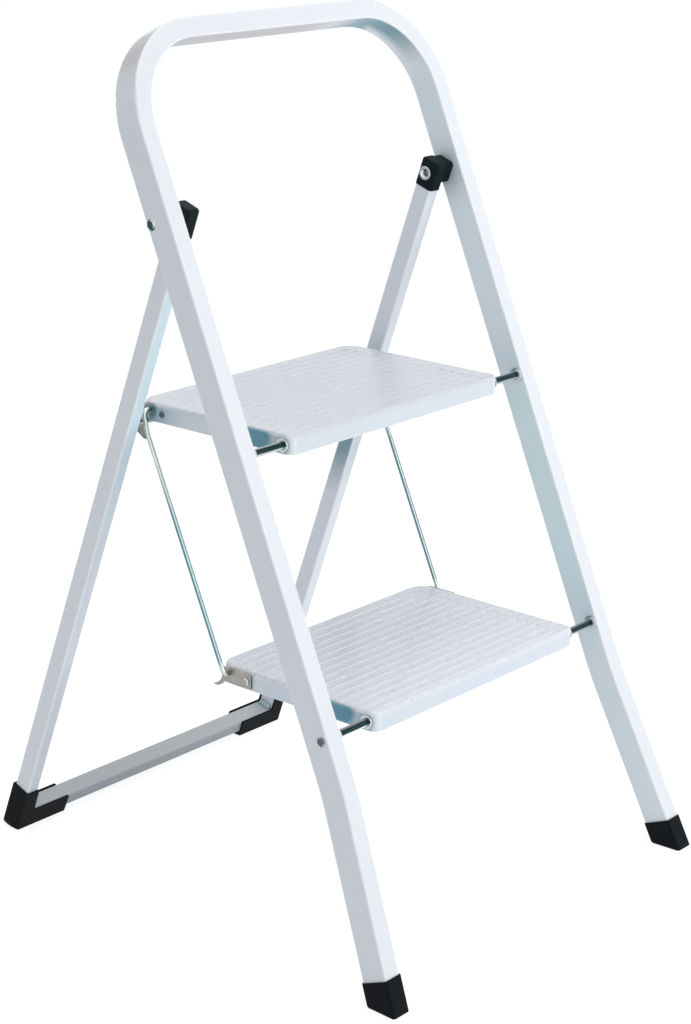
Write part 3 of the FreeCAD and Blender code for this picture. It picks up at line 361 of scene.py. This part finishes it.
def metal(name, body, dark, rough, depth, crease_shade):
    """Plated steel with drawing lines and clouded plating, a painted highlight on its edges and
    painted shade in its creases.
    """
    material, graph, shader = new_material(name, Metallic=1.0)
    streaks = use(graph, STREAKS, Depth=depth)
    edges = use(graph, EDGES, Radius=0.0004, Reach=0.004)
    base = graph.mix(graph.product(streaks["Cloud"], 0.55), body, dark)
    base = graph.mix(graph.product(streaks["Line"], 0.25), base, dark)
    # Painted highlight on edges, then painted shade in creases
    base = graph.mix(graph.product(edges["Edge"], 0.8), base, colour(0.9, 0.9, 0.9))
    base = graph.mix(graph.product(edges["Crease"], crease_shade), base, METAL_CREASE_SHADE)
    wear = graph.remap(streaks["Cloud"], 0.0, 1.0, rough, rough + 0.14)
    cover(graph, shader, base, wear, streaks["Normal"])
    return material


def moulded(name, body, wear_and_sheen, grain, rough):
    """Black plastic or rubber with paler grain and scratches, a painted sheen on its edges and a
    little dust.
    """
    material, graph, shader = new_material(name, Specular_IOR_Level=0.06)
    mould = use(graph, MOULDED, Grain=grain)
    edges = use(graph, EDGES, Radius=0.0009, Reach=0.006)
    scuffs = use(graph, SCUFFS, Scale=140.0, Amount=0.7)
    base = graph.mix(graph.product(mould["Pebble"], 0.5), body, wear_and_sheen)
    # Painted sheen along the edges
    base = graph.mix(graph.product(edges["Edge"], 0.55), base, wear_and_sheen)
    base = graph.mix(graph.product(mould["Dust"], 0.04), base, DUST)
    base = graph.mix(scuffs["Scratch"], base, wear_and_sheen)
    wear = graph.math("SUBTRACT", graph.remap(mould["Dust"], 0.0, 1.0, rough, rough + 0.15),
                      graph.product(edges["Edge"], 0.1))
    cover(graph, shader, base, wear, mould["Normal"])
    return material


def banded(name, direction, stops, rough, depth=0.10, bright=None, dome=None, stain=0.3):
    """Wire or turned steel whose reflections and highlights are painted as a colour ramp along its
    surface direction, with plating stains. bright holds the heights below and above which a
    painted highlight comes in at the ends. dome is the painted reflection of the heads that stand
    outside the front legs."""
    material, graph, shader = new_material(name, Metallic=1.0)
    streaks = use(graph, STREAKS, Depth=depth)
    edges = use(graph, EDGES, Radius=0.0004, Reach=0.004)
    # Painted reflections and highlights, from a colour ramp by surface direction
    base = graph.ramp(graph.facing(direction), stops)
    place = graph.axes()
    # Painted highlight near the ends
    if bright:
        low, high = bright
        fade = graph.math("MAXIMUM", graph.remap(place["Z"], high - 0.05, high, 0.0, 0.7),
                          graph.remap(place["Z"], low + 0.006, low, 0.0, 0.55))
        base = graph.mix(fade, base, colour(0.82, 0.85, 0.84))
    if dome:
        outer = graph.math("GREATER_THAN", graph.math("ABSOLUTE", place["X"]), OUTER_FACE)
        base = graph.mix(outer, base, graph.ramp(graph.facing(HEAD_RUN), dome))
    base = graph.mix(graph.product(streaks["Cloud"], stain), base, colour(0.30, 0.34, 0.34))
    base = graph.mix(graph.product(streaks["Line"], 0.4 * stain), base,
                     colour(0.16, 0.18, 0.18))
    # Painted shade in creases
    base = graph.mix(graph.product(edges["Crease"], 0.6), base, METAL_CREASE_SHADE)
    wear = graph.remap(streaks["Cloud"], 0.0, 1.0, rough, rough + 0.12)
    cover(graph, shader, base, wear, streaks["Normal"])
    return material


def plain_ring(name, body, dark):
    """Pale natural plastic of a bush flange with a little dust, painted shade where it meets the
    tube and a painted shadow along the upper rear arc of its rim."""
    material, graph, shader = new_material(name, Specular_IOR_Level=0.4)
    mould = use(graph, MOULDED, Grain=1800.0)
    edges = use(graph, EDGES, Radius=0.0009, Reach=0.005)
    base = graph.mix(graph.product(mould["Dust"], 0.25), body, dark)
    # Painted shade where the flange meets the tube, then a painted shadow along the rim's upper
    # rear arc
    base = graph.mix(graph.product(edges["Crease"], 0.85), base, dark)
    spot = graph.axes()
    rearward, upward = 0.5, 0.86
    reach = graph.math("ADD", graph.product(spot["Y"], rearward), graph.product(spot["Z"], upward))
    hubs = [rearward * y + upward * z for y, z in (LOWER_PIVOT, UPPER_PIVOT)]
    upper = graph.math("GREATER_THAN", spot["Z"], 0.5 * (UPPER_PIVOT[1] + LOWER_PIVOT[1]))
    hub = graph.remap(upper, 0.0, 1.0, *hubs)
    rim = graph.remap(graph.math("SUBTRACT", reach, hub), 0.0040, 0.0062)
    base = graph.mix(graph.product(rim, 0.85), base, dark)
    wear = graph.remap(mould["Dust"], 0.0, 1.0, 0.3, 0.45)
    cover(graph, shader, base, wear, mould["Normal"])
    return material


# Patterns that repaint a coat by place
def shaded_skirts(graph, base, pivot, rear_mark):
    """Painted shade on a step's side skirts: dark patches behind the front leg and at the link
    rod's end.
    """
    sideways = graph.math("MAXIMUM", graph.remap(graph.facing(LEFT), 0.6, 0.9),
                          graph.remap(graph.facing(RIGHT), 0.6, 0.9, 0.0, 0.4))
    away = graph.side_distance((pivot[0] + 0.036, pivot[1] + 0.002), 0.72)
    patch = graph.product(graph.remap(away, 0.0175, 0.0115), sideways)
    # Painted shade
    base = graph.mix(patch, base, colour(0.13, 0.42, 0.50), "MULTIPLY")
    if rear_mark:
        mark = graph.remap(graph.side_distance(rear_mark), 0.011, 0.006)
        base = graph.mix(graph.product(mark, sideways), base, colour(0.10, 0.30, 0.38),
                         "MULTIPLY")
    return base


def ribbed_top(graph, base, first):
    """Grooves painted lighter against their shade, darker mottled bands between them, and broken
    dashes along both.
    """
    up = graph.math("GREATER_THAN", graph.facing(UP), 0.2)
    turns = graph.math("DIVIDE", graph.math("SUBTRACT", graph.axes()["Y"], first), GROOVE_PITCH)
    within = graph.product(graph.math("GREATER_THAN", turns, -0.5),
                           graph.math("LESS_THAN", turns, GROOVES - 0.5), up)
    wave = graph.math("COSINE", graph.product(turns, 2 * math.pi))
    # Painted light in the grooves, against their shade
    band = graph.product(within, graph.remap(wave, -0.2, 0.95), 0.12)
    base = graph.mix(band, base, colour(0.97, 0.975, 0.99))
    dashes = graph.noise(graph.stretched(graph.place(), (70.0, 520.0, 520.0)), 1.0, 4.0, 0.6)
    dashes = graph.product(graph.remap(dashes, 0.46, 0.66), up, 0.40)
    base = graph.mix(dashes, base, colour(0.60, 0.635, 0.69))
    mottle = graph.noise(graph.stretched(graph.place(), (260.0, 420.0, 420.0)), 1.0, 3.0)
    low = graph.product(within, graph.remap(wave, -0.3, -1.0),
                        graph.remap(mottle, 0.35, 0.65), 0.50)
    return graph.mix(low, base, colour(0.60, 0.625, 0.67))


def step_pattern(pivot, skirt, top, rear_mark):
    """Ribbed top, skirts with painted light and shade, and a painted highlight on the front
    corners.
    """
    def paint(graph, base):
        # Painted light and shade on the upright skirts
        upright = graph.product(graph.remap(graph.facing(UP), 0.7, 0.2),
                                graph.remap(graph.axes()["Z"], top - 0.002, top - 0.006))
        base = graph.mix(upright, base, skirt, "MULTIPLY")
        base = shaded_skirts(graph, base, pivot, rear_mark)
        # Painted highlight on the rounded front corners
        corner = graph.product(graph.math("ABSOLUTE", graph.facing(RIGHT)),
                               graph.facing(FORWARD))
        corner = graph.remap(corner, 0.08, 0.34, 0.0, 0.85)
        base = graph.mix(corner, base, colour(0.96, 1.0, 1.0))
        return ribbed_top(graph, base, pivot[0] + FIRST_GROOVE)
    return paint


def shade_right_bend(graph, base, side, high):
    """Painted shade as a teal strip on the fore part inside the grip's right bend, and painted
    light on a pale part behind it.
    """
    depth = graph.vectors("DOT_PRODUCT", graph.place(), FRONT_LOOK)["Value"]
    fore = graph.remap(depth, FRONT_PLANE + 0.002, FRONT_PLANE - 0.009)
    aft = graph.product(graph.math("SUBTRACT", 1.0, fore), graph.remap(
        graph.facing((-0.77, -0.25, -0.59)), 0.80, 0.95), high, 0.8)
    base = graph.mix(aft, base, WHITE)
    bend_start = graph.remap(graph.facing((-0.14, -0.387, -0.911)), 0.965, 0.995)
    bend_rest = graph.remap(graph.facing((-0.42, -0.354, -0.834)), 0.74, 0.98)
    strip = graph.math("MAXIMUM", bend_start, graph.product(bend_rest, fore))
    strip = graph.product(strip, graph.remap(side, *RIGHT_BEND_SIDE, 0.0, 0.92), high)
    return graph.mix(strip, base, colour(0.15, 0.38, 0.44), "MULTIPLY")


def shade_grip_underside(graph, base, side, high):
    """Warm shade under the grip bar, teal near its left bend."""
    under = graph.product(high, graph.remap(graph.facing(GRIP_UNDERSIDE), 0.80, 0.95),
                          graph.remap(side, *UNDERSIDE_SIDE))
    tint = graph.mix(graph.remap(side, *UNDERSIDE_TEAL_SIDE), colour(0.70, 0.63, 0.63),
                     colour(0.40, 0.55, 0.60))
    return graph.mix(under, base, tint, "MULTIPLY")


def shade_left_bend(graph, base, side, high):
    """Painted shade on the outer face of the left bend where it turns from the leg to the grip
    bar.
    """
    leftward = graph.facing(LEFT)
    flank = graph.remap(graph.math("ABSOLUTE", graph.facing(FRONT_LOOK)), 0.5, 0.2)
    outer = graph.product(graph.remap(leftward, 0.94, 0.72), graph.remap(leftward, 0.38, 0.46),
                          high, flank, graph.math("LESS_THAN", side, 0.0))
    return graph.mix(outer, base, colour(0.72, 0.665, 0.65), "MULTIPLY")


def shade_right_leg(graph, base, side, height):
    """Painted cool light on the inner face of the right leg, greener between the steps."""
    inner = graph.product(graph.remap(graph.facing(LEFT), 0.85, 0.97),
                          graph.math("GREATER_THAN", side, RIGHT_LEG_SIDE))
    between = graph.product(graph.remap(height, *BETWEEN_STEPS_LOW),
                            graph.remap(height, *BETWEEN_STEPS_HIGH))
    tint = graph.mix(between, colour(1.0, 1.055, 1.075), colour(0.95, 1.09, 1.09))
    return graph.mix(inner, base, tint, "MULTIPLY")


def front_pattern(graph, base):
    place = graph.axes()
    side = place["X"]
    high = graph.remap(place["Z"], *GRIP_HEIGHT)
    base = shade_right_bend(graph, base, side, high)
    base = shade_grip_underside(graph, base, side, high)
    base = shade_left_bend(graph, base, side, high)
    return shade_right_leg(graph, base, side, place["Z"])


def rear_pattern(side, front, above=None, shaded=None):
    """Painted light and shade by facing: tints of a rear leg's side faces and of its front face,
    another tint of the front face above ABOVE_STEP_HEIGHT, and the heights between which a
    painted shade of the step above falls on the leg."""
    def paint(graph, base):
        share = graph.math("ABSOLUTE", graph.facing(RIGHT))
        height = graph.axes()["Z"]
        tint = front
        if above:
            tint = graph.mix(graph.remap(height, *ABOVE_STEP_HEIGHT), front, above)
        tint = graph.mix(graph.remap(share, 0.3, 0.8), tint, side)
        base = graph.mix(1.0, base, tint, "MULTIPLY")
        if shaded:
            low, high = shaded
            faces = graph.math("MAXIMUM", graph.remap(graph.facing(LEFT), 0.7, 0.95, 0.0, 0.88),
                               graph.remap(share, 0.2, 0.1, 0.0, 0.25))
            zone = graph.product(graph.remap(height, low, high),
                                 graph.remap(height, high + 0.050, high + 0.030), faces)
            base = graph.mix(zone, base, colour(0.20, 0.36, 0.40), "MULTIPLY")
        return base
    return paint


# Coated pieces
def rear_coat(name, body, shade, pattern):
    return coat(name, body, shade, WHITE_HIGHLIGHT, 1100.0, 0.20, 0.34, ridge=(REAR_LOOK, 0.9),
                pattern=pattern)


def step_coat(name, body, shade, pivot, skirt, top, rear_mark=None):
    return coat(name, body, shade, COOL_HIGHLIGHT, 700.0, 0.30, 0.27, far=0.07, hollow=0.85,
                hollow_tint=TEAL_SHADE, crease=0.05, below=top - 0.004,
                pattern=step_pattern(pivot, skirt, top, rear_mark))


FRONT_COAT = coat("front_coat_look", colour(0.897, 0.906, 0.915), colour(0.815, 0.832, 0.853),
                  WHITE_HIGHLIGHT, 1100.0, 0.22, 0.34, pattern=front_pattern, ridge=(FRONT_LOOK, 0.8))
REAR_COAT = rear_coat("rear_coat_look", colour(0.91, 0.905, 0.92), colour(0.83, 0.83, 0.85),
                      rear_pattern(WHITE, colour(0.80, 0.85, 0.89),
                                   above=colour(0.85, 1.02, 1.07)))
# A cooler copy of the rear coat for the right rear leg, with painted shade under the upper step
REAR_COAT_FAR = rear_coat("rear_coat_far_look", colour(0.90, 0.92, 0.955),
                          colour(0.82, 0.845, 0.89),
                          rear_pattern(colour(0.97, 0.97, 0.98), WHITE, shaded=FAR_LEG_SHADE))
# A darker copy of the rear coat for the crossbar: its dark body and strong hollows are painted
# shade
BAR_COAT = coat("bar_coat_look", colour(0.53, 0.532, 0.54), colour(0.44, 0.447, 0.46),
                colour(0.86, 0.88, 0.90), 900.0, 0.24, 0.32, far=0.09, hollow=0.75,
                hollow_tint=colour(0.45, 0.52, 0.58))
# The two steps share one coat; their different bodies and skirt tints are painted light and shade
UPPER_TREAD = step_coat("upper_tread_look", colour(0.80, 0.803, 0.838),
                        colour(0.71, 0.718, 0.762), UPPER_PIVOT, colour(1.01, 1.07, 1.06),
                        UPPER_TOP, LINK_PIVOT)
LOWER_TREAD = step_coat("lower_tread_look", colour(0.945, 0.935, 0.96),
                        colour(0.85, 0.85, 0.885), LOWER_PIVOT, colour(0.86, 0.92, 0.95),
                        LOWER_TOP)
# The weld's teal-dark colours are painted shade in the corner between bar and leg
WELD = coat("weld_look", colour(0.46, 0.60, 0.65), colour(0.17, 0.33, 0.39), WHITE_HIGHLIGHT, 800.0,
            0.5, 0.26)

# Metal pieces
STEP_ROD = banded("rod_chrome_look", UP, [
    (-1.0, 0.72, 0.76, 0.76), (-0.30, 0.88, 0.91, 0.91), (-0.12, 0.02, 0.055, 0.058),
    (0.80, 0.007, 0.024, 0.027), (0.94, 0.20, 0.24, 0.24), (1.0, 0.60, 0.63, 0.63)],
    0.14, stain=0.03, dome=[
        (-1.0, 0.06, 0.065, 0.07), (-0.60, 0.10, 0.11, 0.12),
        (-0.35, 0.50, 0.52, 0.54), (0.0, 0.16, 0.17, 0.18)])
RIVET_STEEL = banded("rivet_steel_look", HEAD_RUN, [
    (-1.0, 0.14, 0.18, 0.19), (-0.72, 0.28, 0.31, 0.32), (-0.50, 0.46, 0.50, 0.51),
    (-0.25, 0.85, 0.87, 0.88), (1.0, 0.50, 0.53, 0.55)],
    0.22, depth=0.06, stain=0.12, dome=[
        (-1.0, 0.02, 0.04, 0.05), (-0.55, 0.025, 0.05, 0.065),
        (-0.30, 0.07, 0.12, 0.15), (0.02, 0.62, 0.72, 0.75)])
SMALL_RIVET = banded("small_rivet_look", HEAD_RUN, [
    (-1.0, 0.80, 0.80, 0.78), (-0.80, 0.12, 0.12, 0.12), (-0.62, 0.40, 0.39, 0.37),
    (-0.45, 0.88, 0.88, 0.87), (0.2, 0.62, 0.62, 0.61)], 0.2, depth=0.05, stain=0.15)
HOOK_RIVET = banded("hook_rivet_look", HEAD_RUN, [
    (-1.0, 0.05, 0.06, 0.06), (-0.66, 0.07, 0.09, 0.10), (-0.58, 0.30, 0.36, 0.38),
    (-0.2, 0.08, 0.10, 0.11)], 0.25, depth=0.05, stain=0.1)
LINK_ZINC = banded("link_zinc_look", WIRE_RUN, [
    (-1.0, 0.24, 0.42, 0.43), (-0.62, 0.08, 0.20, 0.22), (-0.15, 0.11, 0.22, 0.24),
    (0.08, 0.60, 0.76, 0.76), (0.30, 0.78, 0.88, 0.87), (0.50, 0.08, 0.17, 0.18),
    (0.85, 0.05, 0.11, 0.12)], 0.22, stain=0.12, bright=LINK_BRIGHT)
PLATE_ZINC = metal("plate_zinc_look", colour(0.40, 0.385, 0.365), colour(0.20, 0.19, 0.18), 0.28,
                   0.12, 0.7)
# A darker copy of the plate zinc for the upper hooks: painted shade under the step
HOOK_ZINC = metal("hook_zinc_look", colour(0.24, 0.27, 0.26), colour(0.09, 0.11, 0.10), 0.28,
                  0.12, 0.8)
LATCH_ZINC = metal("latch_zinc_look", colour(0.52, 0.54, 0.54), colour(0.32, 0.34, 0.34), 0.28,
                   0.10, 0.7)
RETAINER = metal("retainer_look", colour(0.22, 0.22, 0.23), colour(0.12, 0.12, 0.13), 0.35,
                 0.08, 0.7)
BUSH_STEEL = metal("bush_steel_look", colour(0.68, 0.72, 0.72), colour(0.34, 0.40, 0.40), 0.18,
                   0.05, 1.0)

# Plastic and rubber pieces
BUSH_PALE = plain_ring("bush_plastic_look", colour(0.80, 0.835, 0.86), colour(0.05, 0.09, 0.11))
CAP_BLACK = moulded("cap_plastic_look", colour(0.0030, 0.0055, 0.0062),
                    colour(0.009, 0.030, 0.031), 1500.0, 0.32)
FOOT_BLACK = moulded("foot_plastic_look", colour(0.0028, 0.0038, 0.0052),
                     colour(0.006, 0.008, 0.011), 1300.0, 0.50)
BOOT_BLACK = moulded("boot_rubber_look", colour(0.0030, 0.0040, 0.0054),
                     colour(0.011, 0.014, 0.017), 900.0, 0.50)

# Looks by material slot, and those of single nodes that differ from their slot's
LOOKS = {
    "front_coat": FRONT_COAT, "rear_coat": REAR_COAT, "bar_coat": BAR_COAT,
    "boot_rubber": BOOT_BLACK, "foot_plastic": FOOT_BLACK, "cap_plastic": CAP_BLACK,
    "bush_plastic": BUSH_PALE, "bush_steel": BUSH_STEEL, "rod_chrome": STEP_ROD,
    "rivet_steel": RIVET_STEEL, "plate_zinc": PLATE_ZINC, "small_rivet_steel": SMALL_RIVET,
    "link_zinc": LINK_ZINC, "latch_zinc": LATCH_ZINC, "retainer_steel": RETAINER,
}
NODE_LOOKS = {"upper_tread": UPPER_TREAD, "lower_tread": LOWER_TREAD,
              "upper_hook_rivets": HOOK_RIVET, "upper_hook_left": HOOK_ZINC,
              "upper_hook_right": HOOK_ZINC, "rear_leg_right": REAR_COAT_FAR}
for part in frame["record"]["subparts"]:
    for slot in frame["nodes"][part["node"]].material_slots:
        slot.material = NODE_LOOKS.get(part["node"]) or LOOKS[part["material_slot"]]


# Weld beads with the ripples of a hand-laid run, in place of the plain ones
BEAD_CORNER = (0.18774, 0.0245)  # X and Z of the corner between bar and leg, in the rear frame
BEAD_HALF = 0.0085
BEAD_SIZE = 0.0056
BEAD_ROWS = 64
BEAD_TURNS = 12
BEAD_RIPPLES = 5.5


def bead_point(side, along, size, angle):
    x, z = BEAD_CORNER
    return REAR_FRAME @ Vector((side * (x - size * math.sin(angle)), along,
                                z + size * math.cos(angle)))


def weld_bead(name, side):
    """Quarter-round bead in the corner, rippled and slightly uneven, with closed ends."""
    rows, turns = BEAD_ROWS, BEAD_TURNS
    points = []
    for row in range(rows + 1):
        share = row / rows
        along = BEAD_HALF * (2 * share - 1)
        end = min(1.0, 7 * min(share, 1 - share) + 0.35)
        ripple = abs(math.sin(share * math.pi * BEAD_RIPPLES))
        for turn in range(turns + 1):
            uneven = noise.noise(Vector((along * 900, turn * 0.35, side * 7.0)))
            size = BEAD_SIZE * end * (0.80 + 0.13 * ripple + 0.07 * uneven)
            points.append(bead_point(side, along, size, math.pi / 2 * turn / turns))
    width = turns + 1
    faces = [(row * width + turn, row * width + turn + 1, (row + 1) * width + turn + 1,
              (row + 1) * width + turn) for row in range(rows) for turn in range(turns)]
    first = len(points)
    points += [bead_point(side, along, 0.0, 0.0) for along in (-BEAD_HALF, BEAD_HALF)]
    faces += [(first, turn + 1, turn) for turn in range(turns)]
    faces += [(first + 1, rows * width + turn, rows * width + turn + 1)
              for turn in range(turns)]
    mesh = bpy.data.meshes.new(name)
    mesh.from_pydata(points, [], faces)
    mesh.update()
    for face in mesh.polygons:
        face.use_smooth = True
    bead = bpy.data.objects.new(name, mesh)
    bpy.context.scene.collection.objects.link(bead)
    bead.data.materials.append(WELD)
    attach(bead, "rear_frame")
    return bead


beads = [weld_bead("weld_bead_left", -1), weld_bead("weld_bead_right", 1)]
for bead in beads:
    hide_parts("rear_weld_beads")


# Stage, light and camera
FLOOR_SIZE = 60.0
FLOOR_HEIGHT = -0.0004
FLOOR_GLOW = 1.30
FLOOR_GLOW_SHARE = 0.65
LAMP_AIM = (0, 0, 0.4)
CAMERA_AIM = Vector((-0.1136, -0.11547, 0.4163))
CAMERA_TURN = math.radians(-49.023)
CAMERA_RISE = math.radians(17.591)
CAMERA_ROLL = math.radians(0.332)
CAMERA_DISTANCE = 2.1945
CAMERA_LENS = 81.96
CAMERA_SENSOR = 36.0


def seen_directly(graph):
    """1 for rays from the camera and for mirrored or refracted ones."""
    path = graph.add("ShaderNodeLightPath").outputs
    direct = graph.math("MAXIMUM", path["Is Camera Ray"], path["Is Glossy Ray"])
    return graph.math("MAXIMUM", direct, path["Is Transmission Ray"])


def build_floor():
    bpy.ops.mesh.primitive_plane_add(size=FLOOR_SIZE, location=(0, 0, FLOOR_HEIGHT))
    floor = bpy.context.object
    floor.name = "floor"
    material = bpy.data.materials.new("floor_look")
    material.use_nodes = True
    material.node_tree.nodes.clear()
    graph = Graph(material.node_tree)
    pale = graph.mix(graph.noise(graph.place(), 3.0), colour(0.86, 0.87, 0.88),
                     colour(0.90, 0.905, 0.91))
    matte = graph.add("ShaderNodeBsdfDiffuse", {"Color": pale})
    glow = graph.add("ShaderNodeEmission", {"Color": WHITE, "Strength": FLOOR_GLOW})
    share = graph.product(seen_directly(graph), FLOOR_GLOW_SHARE)
    blend = graph.add("ShaderNodeMixShader", {0: share, 1: matte.outputs[0], 2: glow.outputs[0]})
    output = graph.add("ShaderNodeOutputMaterial")
    graph.feed(output.inputs["Surface"], blend.outputs[0])
    floor.data.materials.append(material)


def build_world():
    """White where it is seen, a cool grey where it only lights the stool."""
    world = bpy.data.worlds.new("studio")
    world.use_nodes = True
    world.node_tree.nodes.clear()
    graph = Graph(world.node_tree)
    shade = graph.mix(seen_directly(graph), colour(0.485, 0.52, 0.556), WHITE)
    back = graph.add("ShaderNodeBackground", {"Color": shade, "Strength": 1.0})
    output = graph.add("ShaderNodeOutputWorld")
    graph.feed(output.inputs["Surface"], back.outputs[0])
    bpy.context.scene.world = world


def lamp(name, place, size, power, tint=(1.0, 1.0, 1.0)):
    data = bpy.data.lights.new(name, "AREA")
    data.shape = "RECTANGLE"
    data.size = data.size_y = size
    data.energy = power
    data.color = tint
    light = bpy.data.objects.new(name, data)
    light.location = place
    away = Vector(LAMP_AIM) - Vector(place)
    light.rotation_euler = away.to_track_quat("-Z", "Y").to_euler()
    bpy.context.scene.collection.objects.link(light)


def build_camera():
    right = Vector((math.cos(CAMERA_TURN), math.sin(CAMERA_TURN), 0))
    back = Vector((math.sin(CAMERA_TURN) * math.cos(CAMERA_RISE),
                   -math.cos(CAMERA_TURN) * math.cos(CAMERA_RISE), math.sin(CAMERA_RISE)))
    up = back.cross(right)
    across = right * math.cos(CAMERA_ROLL) + up * math.sin(CAMERA_ROLL)
    upward = up * math.cos(CAMERA_ROLL) - right * math.sin(CAMERA_ROLL)
    turn = Matrix((across, upward, back)).transposed().to_4x4()
    lens = bpy.data.cameras.new("camera")
    lens.lens = CAMERA_LENS
    lens.sensor_width = CAMERA_SENSOR
    camera = bpy.data.objects.new("camera", lens)
    camera.matrix_world = Matrix.Translation(CAMERA_AIM + back * CAMERA_DISTANCE) @ turn
    bpy.context.scene.collection.objects.link(camera)
    return camera


build_floor()
build_world()
lamp("key", (1.1, -2.7, 1.5), 1.5, 34.5)
lamp("fill", (-2.6, -1.2, 1.3), 1.6, 3.0, (0.95, 0.98, 1.0))
lamp("top", (0.2, 0.4, 3.0), 1.6, 15.0)
lamp("right_fill", (2.5, -0.6, 1.2), 1.6, 5.0)
bpy.context.scene.camera = build_camera()
bpy.context.scene.view_settings.view_transform = "Standard"
